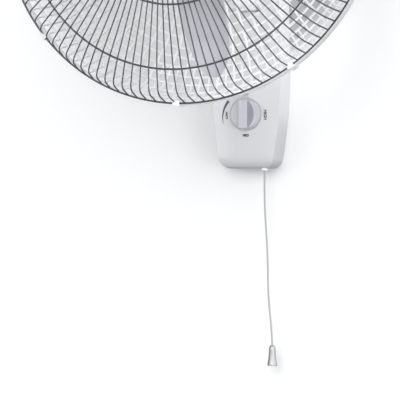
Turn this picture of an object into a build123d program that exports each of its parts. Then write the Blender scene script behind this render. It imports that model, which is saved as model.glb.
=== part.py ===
from build123d import *
import math
import os

# A wall fan: a slim control box on a steel wall plate, a neck arm that tilts and swings the head, a 40 cm
# class fan inside a two-part guard, a speed knob on the front and a pull cord for the swing underneath.
#
# Millimetres. The origin is the centre of the wall plate's screw pattern, on the wall. +Z is up, +X is to
# the right of someone who faces the fan, and the fan stands out from the wall towards -Y. Most places are
# given as a distance from the wall, which is -Y.

# ---------------------------------------------------------------------------------------------------------
# Driving dimensions
# ---------------------------------------------------------------------------------------------------------

# Where the main axes lie
fan_axis_height = 110.0  # fan axis above the wall fixing
tilt_distance = 100.0  # tilt bolt from the wall
tilt_drop = 86.0  # tilt bolt below the fan axis
swing_distance = 122.0  # swing pin from the wall
crank_distance = 80.0  # swing motor's shaft from the wall
crank_side = 10.0  # swing motor's shaft to the right of the middle
rim_distance = 231.0  # plane where the two guards meet, from the wall
knob_drop = 112.8  # knob axis below the wall fixing

# Control box
box_bottom = 177.0  # below the wall fixing
box_waist = 62.0  # widest place, below the wall fixing
box_half_width = 43.5
box_half_top = 41.0
box_half_bottom = 32.0
box_corner_top = 22.0
box_corner_bottom = 12.0
box_depth = 36.0
box_split = 16.0  # seam between the rear and the front shell, from the wall
box_front_edge = 9.0
box_brow = 5.0  # box above the neck arm's foot
shell_wall = 2.4
seam_lip = 3.0
seam_lip_wall = 1.2
seam_clearance = 0.2

# Wall plate
plate_width = 56.0
plate_height = 92.0
plate_thickness = 1.5
plate_screw_x = 34.0
plate_screw_z = 66.0
plate_screw_r = 2.6
plate_corner = 5.0
hook_width = 12.0
hook_side = 16.0  # hook centres from the middle
hook_height = 24.0  # hook's foot above the wall fixing
hook_rise = 7.0
panel_gap = 3.5  # room for the wall screws' heads between the plate and the rear shell's panel

# Fasteners
screw_r = 1.45
screw_clearance = 0.1
screw_head_r = 3.0
screw_head_height = 1.8
screw_sides = 10  # screws are drawn as prisms, without threads
post_r = 4.2

# Switches and wiring inside the box
switch_side = 28.0
switch_depth = 19.0
switch_bushing_r = 4.5
spindle_r = 3.0
running_clearance = 0.05
fit_clearance = 0.3
tab_width = 4.8
tab_thickness = 0.8
tab_length = 5.0
tab_pitch = 8.0
terminal_size = (34.0, 15.0, 13.0)  # across, up, out from the wall
terminal_height = -48.0
terminal_ways = 4
terminal_hole_r = 2.2
terminal_hole_depth = 5.0
capacitor_size = (38.0, 24.0, 15.0)
capacitor_height = -72.0

# Knob
knob_r = 19.0
knob_height = 9.5
knob_gap = 0.5  # behind the knob, in front of the shell
knob_ridge = 10.0
knob_front_r = 16.8
knob_edge = 0.8
knob_scoop_r = 15.0
knob_scoop_depth = 5.5
dial_ring_height = 0.5

# Pull cord
cord_r = 1.1
cord_side = 19.6  # exit to the right of the middle
cord_distance = 25.0  # exit from the wall
cord_travel = 8.0
grommet_r = 4.2
grommet_drop = 2.4
grommet_lip = 0.8
bell_length = 24.0
bell_r = 6.0
bell_neck_r = 2.6
bell_shoulder_r = 3.9
bell_profile = ((0.92, 0.08), (1.0, 0.16))  # of the shoulder's radius, of the length

# Neck
arm_width = 30.0
arm_height = 24.0
arm_drop = 3.0  # arm's middle below the tilt bolt
foot_side = 52.0
foot_corner = 8.0
foot_thickness = 5.0
foot_screw = 40.0
ear_r = 13.0
ear_thickness = 5.0
tilt_bolt_r = 3.0
tongue_clearance = 0.3
barrel_r = 13.0
barrel_height = 30.0
barrel_top_drop = 66.0  # top of the neck's barrel below the fan axis
bush_r = 7.5
swing_pin_r = 4.0
swing_collar_r = 5.0
lever_reach = 22.0
lever_thickness = 2.2
crank_r = 14.1  # crank pin from the crank's middle
crank_disc_r = 17.0
crank_pin_r = 2.0
link_thickness = 2.4
link_half_width = 2.2
link_gap = 0.3

# Motor
stator_r = 44.0
stator_length = 28.0
stator_front = 142.0  # from the wall
slot_count = 16
slot_r = 36.0
slot_width = 3.6
winding_r = 34.0
winding_size = (14.0, 7.4)
rotor_r = 24.0
air_gap = 0.5
shaft_r = 4.0
shaft_rear = 94.0
shaft_front = 243.0
bracket_r = 55.4
bracket_front = 158.0  # face that the rear guard sits on, from the wall
collar_r = 23.8
collar_length = 12.0
cover_r = 58.0
cover_rear = 54.0
cover_lip = 152.0
cover_wall = 2.4
cover_round = 20.0
pod_half_width = 31.0
pod_drop = 70.0  # underside of the cover's pod below the fan axis
pod_roof_drop = 30.0
pod_front = 146.0
pod_rear = 58.0
swing_motor_r = 19.0
swing_motor_height = 14.0
swing_motor_drop = 32.0  # its top below the fan axis

# Blades
blade_count = 5
blade_inset = 29.5  # blade tips inside the rim
blade_start_r = 30.0  # inside the hub
blade_facets = 4
hub_r = 42.0
hub_rear = 186.0
hub_front = 228.0
hub_wall = 2.5
blade_thickness = 2.2
blade_camber = 5.0
nut_r = 19.0
nut_height = 16.0
nut_grips = 8
nut_grip_r = 4.5
nut_edge = 1.5

# Guards
rim_r = 220.0
band_depth = 13.0
band_wall = 2.4
wire_count = 120
wire_width = 1.8
wire_swirl = 12.0  # the wires pass this far beside the fan axis
ring_width = 2.6
middle_ring_r = rim_r - 36.5
middle_ring_rise = 25.5  # in front of the rim
inner_ring_r = rim_r / 2 + 4.5
inner_ring_rise = 30.5
guard_hub_r = 38.0
guard_hub_rise = 32.5
shoulder_r = rim_r - 8.5
shoulder_rise = 21.0
badge_r = 45.0
badge_edge = 2.0
badge_steps = (1.0, 0.82, 0.55, 0.25, 0.0)
badge_height = 8.0
rib_count = 60
rib_width = 2.0
rib_depth = 3.0
rear_hub_r = 62.0
rear_ring_insets = (128.0, 92.0, 56.0, 24.0)  # inside the rim
clip_angles = (-34.0, 3.0, 50.0, 95.0, 140.0, 185.0, 230.0, 278.0)  # from straight down, towards -X
clip_width = 9.0

# ---------------------------------------------------------------------------------------------------------
# Worked out from them
# ---------------------------------------------------------------------------------------------------------
tilt_height = fan_axis_height - tilt_drop
foot_height = tilt_height - arm_drop
box_top = foot_height + foot_side / 2 + box_brow
barrel_top = fan_axis_height - barrel_top_drop
pod_bottom = fan_axis_height - pod_drop
panel_back = plate_thickness + panel_gap
panel_front = panel_back + shell_wall
box_inner_front = box_depth - shell_wall
screw_hole_r = screw_r + screw_clearance
fan_axis = Axis((0, 0, fan_axis_height), (0, -1, 0))
# Profiles of turned pieces: local x is the radius, local y the distance from the wall.
turned = Plane(origin=(0, 0, fan_axis_height), x_dir=(1, 0, 0), z_dir=(0, 0, -1))

os.makedirs("parts", exist_ok=True)


def facing(distance, height=0.0, side=0.0):
    """Upright plane that faces away from the wall, with its local y upwards."""
    return Plane(origin=(side, -distance, height), x_dir=(1, 0, 0), z_dir=(0, -1, 0))


def level(height, side=0.0, distance=0.0):
    """Flat plane that faces up, with its local y towards the wall."""
    return Plane(origin=(side, -distance, height), x_dir=(1, 0, 0), z_dir=(0, 0, 1))


def across(distance, height, side=0.0):
    """Upright plane along the fan axis: local x leads away from the wall, local y is up."""
    return Plane(origin=(side, -distance, height), x_dir=(0, -1, 0), z_dir=(-1, 0, 0))


def outward(angle, radius, distance):
    """Plane on the side of the head that faces straight out from the fan axis."""
    cosine, sine = math.cos(math.radians(angle)), math.sin(math.radians(angle))
    return Plane(
        origin=(radius * cosine, -distance, fan_axis_height + radius * sine),
        x_dir=(0, -1, 0),
        z_dir=(cosine, 0, sine),
    )


def save(piece, label):
    """Names a finished piece and writes it."""
    piece.part.label = label
    export_step(piece.part, f"parts/{label}.step")


def box_outline(inset=0.0):
    """Front view of the control box: long, widest below the middle, narrowing to the bottom."""
    side = box_half_width - inset
    top = box_top - inset
    foot = -box_bottom + inset
    with BuildSketch(mode=Mode.PRIVATE) as outline:
        with BuildLine():
            upper = Line((box_half_top - inset, top), (side, -box_waist))
            lower = TangentArc(upper @ 1, (box_half_bottom - inset, foot), tangent=(0, -1))
            Line(lower @ 1, (0, foot))
            Line((0, top), upper @ 0)
            mirror(about=Plane.YZ)
        make_face()
        corners = outline.vertices()
        fillet(corners.group_by(Axis.Y)[-1].filter_by(lambda v: abs(v.X) > 1), box_corner_top - inset)
        fillet(
            outline.vertices().group_by(Axis.Y)[0].filter_by(lambda v: abs(v.X) > 1),
            box_corner_bottom - inset,
        )
    return outline.sketch


outline = box_outline()
cavity = box_outline(shell_wall)
lip_outer = box_outline(shell_wall + seam_clearance)
lip_inner = box_outline(shell_wall + seam_clearance + seam_lip_wall)

# Posts that the four shell screws run through, clear of the wall plate and of the neck arm's foot
shell_posts = [
    (-33.0, -14.0),
    (33.0, -14.0),
    (-30.0, -122.0),
    (30.0, -122.0),
]
foot_distance = 14.0
screw_bite = 8.0

# ---------------------------------------------------------------------------------------------------------
# Wall plate: steel, four screw holes, two hooks that the rear shell hangs on, a hole for the lock screw
# ---------------------------------------------------------------------------------------------------------
lock_screw_height = -26.0
slot_play = 0.3
hook_front = panel_front + slot_play - plate_thickness

with BuildPart() as wall_plate:
    with BuildSketch(facing(0)):
        RectangleRounded(plate_width, plate_height, plate_corner)
        with GridLocations(plate_screw_x, plate_screw_z, 2, 2):
            Circle(plate_screw_r, mode=Mode.SUBTRACT)
        with Locations((0, lock_screw_height)):
            Circle(screw_hole_r, mode=Mode.SUBTRACT)
    extrude(amount=plate_thickness)
    for hook_x in (-hook_side, hook_side):
        with BuildSketch(across(plate_thickness, hook_height, hook_x)):
            with BuildLine():
                Polyline(
                    (0, 0),
                    (hook_front + plate_thickness, 0),
                    (hook_front + plate_thickness, hook_rise),
                    (hook_front, hook_rise),
                    (hook_front, plate_thickness),
                    (0, plate_thickness),
                    close=True,
                )
            make_face()
        extrude(amount=hook_width / 2, both=True)
save(wall_plate, "wall_plate")

# ---------------------------------------------------------------------------------------------------------
# Rear shell: open tray behind the seam, hung on the plate's hooks; its rim rests on the wall
# ---------------------------------------------------------------------------------------------------------
slot_top = hook_height + plate_thickness + slot_play
slot_length = hook_rise + 3 * slot_play
seam_step = 4.0
pull_switch_size = (16.0, 14.0, 22.0)  # across, out from the wall, up
pull_switch_height = -145.0
bracket_size = (12.0, 18.0)

with BuildPart() as rear_shell:
    with BuildSketch(facing(0)):
        add(outline)
    extrude(amount=box_split)
    with BuildSketch(facing(0)):
        add(cavity)
    extrude(amount=panel_back, mode=Mode.SUBTRACT)
    with BuildSketch(facing(panel_front)):
        add(cavity)
    extrude(amount=box_split - panel_front, mode=Mode.SUBTRACT)
    with BuildSketch(facing(box_split - seam_step)):
        add(cavity)
        add(lip_inner, mode=Mode.SUBTRACT)
    extrude(amount=seam_step)
    with BuildSketch(facing(box_split)):
        add(lip_outer)
        add(lip_inner, mode=Mode.SUBTRACT)
    extrude(amount=seam_lip)
    with BuildSketch(facing(panel_back)):
        with Locations(*shell_posts):
            Circle(post_r)
    extrude(amount=box_split - panel_back)
    with BuildSketch(facing(panel_front)):
        with Locations((0, foot_height)):
            with GridLocations(foot_screw, foot_screw, 2, 2):
                Circle(post_r + 1)
    extrude(amount=foot_distance - panel_front)
    with BuildSketch(facing(panel_front, pull_switch_height, cord_side)):
        Rectangle(*bracket_size)
    extrude(amount=cord_distance - pull_switch_size[1] / 2 - panel_front)
    with BuildSketch(facing(panel_back)):
        with Locations(*[(x, slot_top - slot_length / 2) for x in (-hook_side, hook_side)]):
            Rectangle(hook_width + 2 * slot_play, slot_length)
        with Locations((0, lock_screw_height)):
            Circle(screw_hole_r)
    extrude(amount=shell_wall, mode=Mode.SUBTRACT)
    with BuildSketch(facing(panel_back)):
        with Locations(*shell_posts):
            Circle(screw_hole_r)
    extrude(amount=box_split - panel_back, mode=Mode.SUBTRACT)
    with BuildSketch(facing(panel_back)):
        with Locations(*shell_posts):
            Circle(screw_head_r + fit_clearance)
    extrude(amount=screw_bite, mode=Mode.SUBTRACT)
    with BuildSketch(facing(foot_distance)):
        with Locations((0, foot_height)):
            with GridLocations(foot_screw, foot_screw, 2, 2):
                Circle(screw_hole_r)
    extrude(amount=-screw_bite, mode=Mode.SUBTRACT)
save(rear_shell, "rear_shell")

# ---------------------------------------------------------------------------------------------------------
# Front shell: moulded cover with a rounded front edge, open for the neck arm, the switch and the cord
# ---------------------------------------------------------------------------------------------------------
arm_opening = 2.0
dial_ring_r = knob_r + 1.2

with BuildPart() as front_shell:
    with BuildSketch(facing(box_split)):
        add(outline)
    extrude(amount=box_depth - box_split)
    fillet(front_shell.faces().sort_by(Axis.Y)[0].edges(), box_front_edge)
    offset(amount=-shell_wall, openings=front_shell.faces().sort_by(Axis.Y)[-1])
    with BuildSketch(facing(box_split)):
        with Locations(*shell_posts):
            Circle(post_r)
    extrude(until=Until.NEXT)
    with BuildSketch(facing(box_split)):
        with Locations(*shell_posts):
            Circle(screw_hole_r)
    extrude(amount=screw_bite + screw_head_height, mode=Mode.SUBTRACT)
    with BuildSketch(facing(box_depth, -knob_drop)):
        Circle(dial_ring_r)
        Circle(dial_ring_r - 1.2, mode=Mode.SUBTRACT)
    extrude(amount=dial_ring_height)
    with BuildSketch(facing(box_inner_front)):
        with Locations((0, foot_height)):
            RectangleRounded(arm_width + 2 * arm_opening, arm_height + 2 * arm_opening, 6)
        with Locations((0, -knob_drop)):
            Circle(switch_bushing_r + fit_clearance)
    extrude(amount=shell_wall, mode=Mode.SUBTRACT)
    with BuildSketch(level(-box_bottom, cord_side, cord_distance)):
        Circle(grommet_r - grommet_lip + seam_clearance)
    extrude(amount=2 * shell_wall, mode=Mode.SUBTRACT)
save(front_shell, "front_shell")

# ---------------------------------------------------------------------------------------------------------
# Screws of the control box
# ---------------------------------------------------------------------------------------------------------
with BuildPart() as shell_screws:
    with BuildSketch(facing(panel_back + screw_bite - screw_head_height)):
        with Locations(*shell_posts):
            RegularPolygon(screw_head_r, screw_sides)
    extrude(amount=screw_head_height)
    with BuildSketch(facing(panel_back + screw_bite)):
        with Locations(*shell_posts):
            RegularPolygon(screw_r, screw_sides)
    extrude(amount=box_split - panel_back)
save(shell_screws, "shell_screws")

with BuildPart() as lock_screw:
    with BuildSketch(facing(seam_clearance, lock_screw_height)):
        RegularPolygon(screw_r, screw_sides)
    extrude(amount=panel_front - seam_clearance)
    with BuildSketch(facing(panel_front, lock_screw_height)):
        RegularPolygon(screw_head_r, screw_sides)
    extrude(amount=screw_head_height)
save(lock_screw, "lock_screw")

# ---------------------------------------------------------------------------------------------------------
# Electrical pieces inside the control box
# ---------------------------------------------------------------------------------------------------------
bushing_length = 4.6
switch_nut_height = 2.2
switch_back = box_inner_front - switch_depth
knob_back = box_depth + dial_ring_height + knob_gap

with BuildPart() as rotary_switch:
    with BuildSketch(facing(switch_back, -knob_drop)):
        RectangleRounded(switch_side, switch_side, 2)
    extrude(amount=switch_depth)
    with BuildSketch(facing(box_inner_front, -knob_drop)):
        Circle(switch_bushing_r)
    extrude(amount=bushing_length)
    with BuildSketch(facing(switch_back, -knob_drop)):
        with GridLocations(switch_side / 2, switch_side * 0.7, 2, 2):
            Rectangle(tab_width, tab_thickness)
    extrude(amount=-tab_length)
    with BuildSketch(facing(switch_back + 3, -knob_drop)):
        Circle(spindle_r + running_clearance)
    extrude(amount=switch_depth + bushing_length, mode=Mode.SUBTRACT)
save(rotary_switch, "rotary_switch")

with BuildPart() as switch_nut:
    with BuildSketch(facing(box_depth, -knob_drop)):
        RegularPolygon(switch_bushing_r + 2.6, 6)
        Circle(switch_bushing_r + running_clearance, mode=Mode.SUBTRACT)
    extrude(amount=switch_nut_height)
save(switch_nut, "switch_nut")

plunger_r = 1.2
plunger_top = 6.0
bead_r = 2.6
bead_height = 5.0
pull_switch_bottom = pull_switch_height - pull_switch_size[2] / 2

with BuildPart() as pull_switch:
    with BuildSketch(level(pull_switch_bottom, cord_side, cord_distance)):
        RectangleRounded(pull_switch_size[0], pull_switch_size[1], 1.5)
    extrude(amount=pull_switch_size[2])
    with BuildSketch(level(pull_switch_bottom, cord_side, cord_distance)):
        Circle(plunger_r + running_clearance)
    extrude(amount=pull_switch_size[2] - plunger_top, mode=Mode.SUBTRACT)
    with BuildSketch(level(pull_switch_bottom + pull_switch_size[2], cord_side, cord_distance)):
        with GridLocations(tab_pitch, 1, 2, 1):
            Rectangle(tab_thickness, tab_width)
    extrude(amount=tab_length)
save(pull_switch, "pull_switch")

with BuildPart() as terminal_block:
    with BuildSketch(facing(panel_front, terminal_height)):
        Rectangle(terminal_size[0], terminal_size[1])
    extrude(amount=terminal_size[2])
    with BuildSketch(facing(panel_front + terminal_size[2], terminal_height)):
        with GridLocations(terminal_size[0] / terminal_ways, 1, terminal_ways, 1):
            Circle(terminal_hole_r)
    extrude(amount=-terminal_hole_depth, mode=Mode.SUBTRACT)
save(terminal_block, "terminal_block")

with BuildPart() as run_capacitor:
    with BuildSketch(facing(panel_front, capacitor_height)):
        RectangleRounded(capacitor_size[0], capacitor_size[1], 2)
    extrude(amount=capacitor_size[2])
save(run_capacitor, "run_capacitor")

# ---------------------------------------------------------------------------------------------------------
# Speed knob with its grip ridge, on the switch's flatted spindle
# ---------------------------------------------------------------------------------------------------------
spindle_flat = 2.0
spindle_end = knob_back + knob_height - 3
socket_depth = spindle_end - knob_back
nut_room_r = switch_bushing_r + 5.5
nut_room = box_depth + max(bushing_length - shell_wall, switch_nut_height) + 0.6 - knob_back

with BuildPart() as switch_spindle:
    with BuildSketch(facing(switch_back + 3.2, -knob_drop)):
        Circle(spindle_r)
    extrude(amount=spindle_end - switch_back - 3.2)
    with BuildSketch(facing(knob_back + nut_room - fit_clearance, -knob_drop)):
        with Locations((0, spindle_r)):
            Rectangle(2 * spindle_r, 2 * (spindle_r - spindle_flat))
    extrude(amount=socket_depth, mode=Mode.SUBTRACT)
save(switch_spindle, "switch_spindle")

with BuildPart() as speed_knob:
    with BuildSketch(across(knob_back, -knob_drop)):
        with BuildLine():
            Polyline(
                (0, 0),
                (0, knob_r),
                (knob_height - knob_edge, knob_front_r + knob_edge),
                (knob_height, knob_front_r),
                (knob_height, 0),
                close=True,
            )
        make_face()
    revolve(axis=Axis((0, 0, -knob_drop), (0, -1, 0)))
    with BuildSketch(facing(knob_back + knob_height, -knob_drop)):
        Circle(knob_scoop_r)
        Rectangle(knob_ridge, 2 * knob_r, mode=Mode.SUBTRACT)
    extrude(amount=-knob_scoop_depth, mode=Mode.SUBTRACT)
    with BuildSketch(facing(knob_back + knob_height, -knob_drop + knob_scoop_r - 2)):
        Rectangle(1.6, 6)
    extrude(amount=-0.8, mode=Mode.SUBTRACT)
    with BuildSketch(facing(knob_back, -knob_drop)):
        Circle(nut_room_r)
    extrude(amount=nut_room, mode=Mode.SUBTRACT)
    with BuildSketch(facing(knob_back, -knob_drop)):
        Circle(spindle_r + running_clearance)
        with Locations((0, spindle_r + running_clearance)):
            Rectangle(3 * spindle_r, 2 * (spindle_r - spindle_flat), mode=Mode.SUBTRACT)
    extrude(amount=socket_depth + running_clearance, mode=Mode.SUBTRACT)
save(speed_knob, "speed_knob")

# ---------------------------------------------------------------------------------------------------------
# Pull cord: plunger in the switch, cord through the grommet, bell-shaped pull
# ---------------------------------------------------------------------------------------------------------
cord_top = pull_switch_bottom - fit_clearance - bead_height
grommet_bottom = -box_bottom - grommet_drop

with BuildPart() as pull_plunger:
    with BuildSketch(level(cord_top, cord_side, cord_distance)):
        Circle(bead_r)
    extrude(amount=bead_height)
    with BuildSketch(level(cord_top + bead_height, cord_side, cord_distance)):
        Circle(plunger_r)
    extrude(amount=fit_clearance + pull_switch_size[2] - plunger_top - 2)
save(pull_plunger, "pull_plunger")

with BuildPart() as cord_grommet:
    with BuildSketch(level(-box_bottom, cord_side, cord_distance)):
        Circle(grommet_r - grommet_lip)
    extrude(amount=shell_wall + grommet_lip)
    with BuildSketch(level(-box_bottom, cord_side, cord_distance)):
        Circle(grommet_r)
    extrude(amount=-grommet_drop, taper=10)
    with BuildSketch(level(grommet_bottom, cord_side, cord_distance)):
        Circle(cord_r + fit_clearance)
    extrude(amount=grommet_drop + shell_wall + grommet_lip, mode=Mode.SUBTRACT)
save(cord_grommet, "cord_grommet")

# The cord hangs a little unevenly: points as (to the right of the exit, below the box's underside)
cord_route = [
    (0.0, 20.0),
    (0.3, 44.0),
    (1.6, 68.0),
    (3.4, 93.0),
    (4.2, 118.0),
    (4.5, 145.0),
    (6.4, 168.0),
    (8.9, 192.0),
]
cord_end = (9.8, 210.0)
cord_points = [(cord_side, -cord_distance, cord_top)]
cord_points += [(cord_side + x, -cord_distance, -box_bottom - drop) for x, drop in cord_route + [cord_end]]


def cord_radii(points):
    """Largest arc at each corner that the shorter of its two runs allows."""
    radii = []
    for before, here, after in zip(points, points[1:], points[2:]):
        run_in = Vector(*here) - Vector(*before)
        run_out = Vector(*after) - Vector(*here)
        half_turn = math.radians(run_in.get_angle(run_out)) / 2
        radii.append(0.45 * min(run_in.length, run_out.length) / math.tan(half_turn))
    return radii


with BuildPart() as pull_cord:
    with BuildLine() as cord_line:
        FilletPolyline(*cord_points, radius=cord_radii(cord_points))
    with BuildSketch(level(cord_top, cord_side, cord_distance)):
        Circle(cord_r)
    sweep()
print("cord radii", [round(radius) for radius in cord_radii(cord_points)])
print("cord length", round(cord_line.wire().length, 1))
print("cord volume", round(pull_cord.part.volume, 2), "of", round(math.pi * cord_r**2 * cord_line.wire().length, 2))
save(pull_cord, "pull_cord")

bell_top = -box_bottom - cord_end[1] - running_clearance
bell_side = cord_side + cord_end[0]

with BuildPart() as cord_pull:
    with BuildSketch(Plane(origin=(bell_side, -cord_distance, bell_top), x_dir=(1, 0, 0), z_dir=(0, -1, 0))):
        with BuildLine():
            Polyline(
                (0, 0),
                (bell_neck_r, 0),
                *[(part * bell_shoulder_r, -drop * bell_length) for part, drop in bell_profile],
                (bell_shoulder_r + 0.6, -bell_length * 0.55),
                (bell_r, -bell_length + 2),
                (bell_r, -bell_length),
                (0, -bell_length),
                close=True,
            )
        make_face()
    revolve(axis=Axis((bell_side, -cord_distance, bell_top), (0, 0, 1)))
save(cord_pull, "cord_pull")

# ---------------------------------------------------------------------------------------------------------
# Neck arm: cast foot and arm that ends in a fork for the tilt bolt
# ---------------------------------------------------------------------------------------------------------
fork_half = arm_width / 2 - ear_thickness
tongue_r = ear_r - 1
fork_root = tilt_distance - tongue_r - 1.5
fork_start = fork_root - 12

with BuildPart() as neck_arm:
    with BuildSketch(facing(foot_distance, foot_height)):
        RectangleRounded(foot_side, foot_side, foot_corner)
    extrude(amount=foot_thickness)
    with BuildSketch(facing(foot_distance, foot_height)):
        RectangleRounded(arm_width, arm_height, 6)
    extrude(amount=fork_root - foot_distance)
    with BuildSketch(across(0, 0)):
        with Locations((tilt_distance, tilt_height)):
            Circle(ear_r)
        with Locations(((fork_start + tilt_distance) / 2, tilt_height - 1)):
            Rectangle(tilt_distance - fork_start, arm_height - 2)
    extrude(amount=arm_width / 2, both=True)
    with BuildSketch(across(0, 0)):
        with Locations((fork_root + 2 * ear_r, tilt_height)):
            Rectangle(4 * ear_r, 4 * ear_r)
    extrude(amount=fork_half, both=True, mode=Mode.SUBTRACT)
    with BuildSketch(across(tilt_distance, tilt_height)):
        Circle(tilt_bolt_r + running_clearance)
    extrude(amount=arm_width, both=True, mode=Mode.SUBTRACT)
    with BuildSketch(facing(foot_distance, foot_height)):
        with GridLocations(foot_screw, foot_screw, 2, 2):
            Circle(screw_hole_r)
    extrude(amount=foot_thickness, mode=Mode.SUBTRACT)
save(neck_arm, "neck_arm")

with BuildPart() as arm_screws:
    with BuildSketch(facing(foot_distance - screw_bite + 1, foot_height)):
        with GridLocations(foot_screw, foot_screw, 2, 2):
            RegularPolygon(screw_r, screw_sides)
    extrude(amount=foot_thickness + screw_bite - 1)
    with BuildSketch(facing(foot_distance + foot_thickness, foot_height)):
        with GridLocations(foot_screw, foot_screw, 2, 2):
            RegularPolygon(screw_head_r, screw_sides)
    extrude(amount=screw_head_height)
save(arm_screws, "arm_screws")

bolt_head = 3.5
tilt_nut_height = 9.0

with BuildPart() as tilt_bolt:
    with BuildSketch(across(tilt_distance, tilt_height, arm_width / 2)):
        RegularPolygon(tilt_bolt_r * 1.8, 6)
    extrude(amount=-bolt_head)
    with BuildSketch(across(tilt_distance, tilt_height, arm_width / 2)):
        Circle(tilt_bolt_r)
    extrude(amount=arm_width + tilt_nut_height)
save(tilt_bolt, "tilt_bolt")

with BuildPart() as tilt_nut:
    with BuildSketch(across(tilt_distance, tilt_height, -arm_width / 2)):
        RegularPolygon(9.5, 8)
        Circle(tilt_bolt_r + running_clearance, mode=Mode.SUBTRACT)
    extrude(amount=tilt_nut_height - 1)
save(tilt_nut, "tilt_nut")

# ---------------------------------------------------------------------------------------------------------
# Neck block: tongue in the fork, upright barrel with the swing bush, lever that the swing link pushes on
# ---------------------------------------------------------------------------------------------------------
tongue_half = fork_half - tongue_clearance
barrel_bottom = barrel_top - barrel_height
lever_top = barrel_top + lever_thickness
link_bottom = lever_top + 2.5 + link_gap
lever_eye_r = 3.6

with BuildPart() as neck_block:
    with BuildSketch(level(barrel_bottom, 0, swing_distance)):
        Circle(barrel_r)
    extrude(amount=barrel_height)
    with BuildSketch(across(0, 0)):
        with Locations((tilt_distance, tilt_height)):
            Circle(tongue_r)
        with Locations(((tilt_distance + swing_distance) / 2, tilt_height)):
            Rectangle(swing_distance - tilt_distance, 2 * tongue_r - 4)
    extrude(amount=tongue_half, both=True)
    with BuildSketch(level(barrel_bottom, 0, swing_distance)):
        Circle(bush_r + running_clearance)
    extrude(amount=barrel_height, mode=Mode.SUBTRACT)
    with BuildSketch(across(tilt_distance, tilt_height)):
        Circle(tilt_bolt_r + running_clearance)
    extrude(amount=arm_width, both=True, mode=Mode.SUBTRACT)
save(neck_block, "neck_block")

with BuildPart() as swing_bush:
    with BuildSketch(level(barrel_bottom, 0, swing_distance)):
        Circle(bush_r)
        Circle(swing_pin_r + running_clearance, mode=Mode.SUBTRACT)
    extrude(amount=barrel_height)
save(swing_bush, "swing_bush")

with BuildPart() as swing_lever:
    with BuildSketch(level(barrel_top, 0, swing_distance)):
        Circle(barrel_r - 2)
        with Locations((lever_reach / 2, 0)):
            Rectangle(lever_reach, 2 * lever_eye_r)
        with Locations((lever_reach, 0)):
            Circle(lever_eye_r)
        Circle(swing_collar_r + 0.5, mode=Mode.SUBTRACT)
    extrude(amount=lever_thickness)
    with BuildSketch(level(lever_top, lever_reach, swing_distance)):
        Circle(crank_pin_r)
    extrude(amount=link_bottom - link_gap - lever_top)
save(swing_lever, "swing_lever")

# ---------------------------------------------------------------------------------------------------------
# Swing drive in the head: pin in the neck's bush, geared motor, crank and link
# ---------------------------------------------------------------------------------------------------------
link_top = link_bottom + link_thickness
boss_bottom = link_top + 0.7
boss_top = fan_axis_height - stator_r - 4
pin_gap = 0.1
clip_thickness = 1.4

with BuildPart() as swing_pin:
    with BuildSketch(level(barrel_bottom - 2.5, 0, swing_distance)):
        Circle(swing_pin_r)
    extrude(amount=barrel_height + 2.5 + pin_gap)
    with BuildSketch(level(barrel_top + pin_gap, 0, swing_distance)):
        Circle(swing_collar_r)
    extrude(amount=boss_top - 1 - barrel_top - pin_gap)
save(swing_pin, "swing_pin")

with BuildPart() as swing_clip:
    with BuildSketch(level(barrel_bottom - seam_clearance - clip_thickness, 0, swing_distance)):
        Circle(swing_pin_r + 3)
        Circle(swing_pin_r + running_clearance, mode=Mode.SUBTRACT)
        with Locations((0, -swing_pin_r)):
            Rectangle(3, 2 * swing_pin_r, mode=Mode.SUBTRACT)
    extrude(amount=clip_thickness)
save(swing_clip, "swing_clip")

crank_disc_bottom = link_top + link_gap
crank_disc_height = 3.0
swing_motor_top = fan_axis_height - swing_motor_drop
swing_motor_bottom = swing_motor_top - swing_motor_height
crank_shaft_r = 3.5
motor_rear = stator_front - stator_length
rear_bracket_rear = motor_rear - 14

with BuildPart() as swing_motor:
    with BuildSketch(level(swing_motor_bottom, crank_side, crank_distance)):
        Circle(swing_motor_r)
    extrude(amount=swing_motor_height)
    tab_end = rear_bracket_rear - seam_clearance
    with BuildSketch(level(swing_motor_top, crank_side, (crank_distance + tab_end) / 2)):
        Rectangle(24, tab_end - crank_distance)
    extrude(amount=1.2)
    with BuildSketch(facing(tab_end - 1.2, swing_motor_top + 6, crank_side)):
        Rectangle(24, 12)
    extrude(amount=1.2)
    with BuildSketch(level(swing_motor_bottom, crank_side, crank_distance)):
        Circle(crank_shaft_r + running_clearance)
    extrude(amount=5, mode=Mode.SUBTRACT)
save(swing_motor, "swing_motor")

with BuildPart() as swing_crank:
    with BuildSketch(level(crank_disc_bottom, crank_side, crank_distance)):
        Circle(crank_disc_r)
    extrude(amount=crank_disc_height)
    with BuildSketch(level(crank_disc_bottom + crank_disc_height, crank_side, crank_distance)):
        Circle(crank_shaft_r)
    extrude(amount=swing_motor_bottom + 4.5 - crank_disc_bottom - crank_disc_height)
    with BuildSketch(level(link_bottom - 0.5, crank_side + crank_r, crank_distance)):
        Circle(crank_pin_r)
    extrude(amount=crank_disc_bottom - link_bottom + 0.5)
save(swing_crank, "swing_crank")

link_near = Vector(crank_side + crank_r, -crank_distance)
link_far = Vector(lever_reach, -swing_distance)
link_eye_r = 4.0

with BuildPart() as swing_link:
    with BuildSketch(level(link_bottom)):
        make_hull(
            [
                Edge.make_circle(link_half_width, Plane((link_near.X, link_near.Y, 0))),
                Edge.make_circle(link_half_width, Plane((link_far.X, link_far.Y, 0))),
            ]
        )
        with Locations(link_near, link_far):
            Circle(link_eye_r)
        with Locations(link_near, link_far):
            Circle(crank_pin_r + running_clearance, mode=Mode.SUBTRACT)
    extrude(amount=link_thickness)
save(swing_link, "swing_link")

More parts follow.
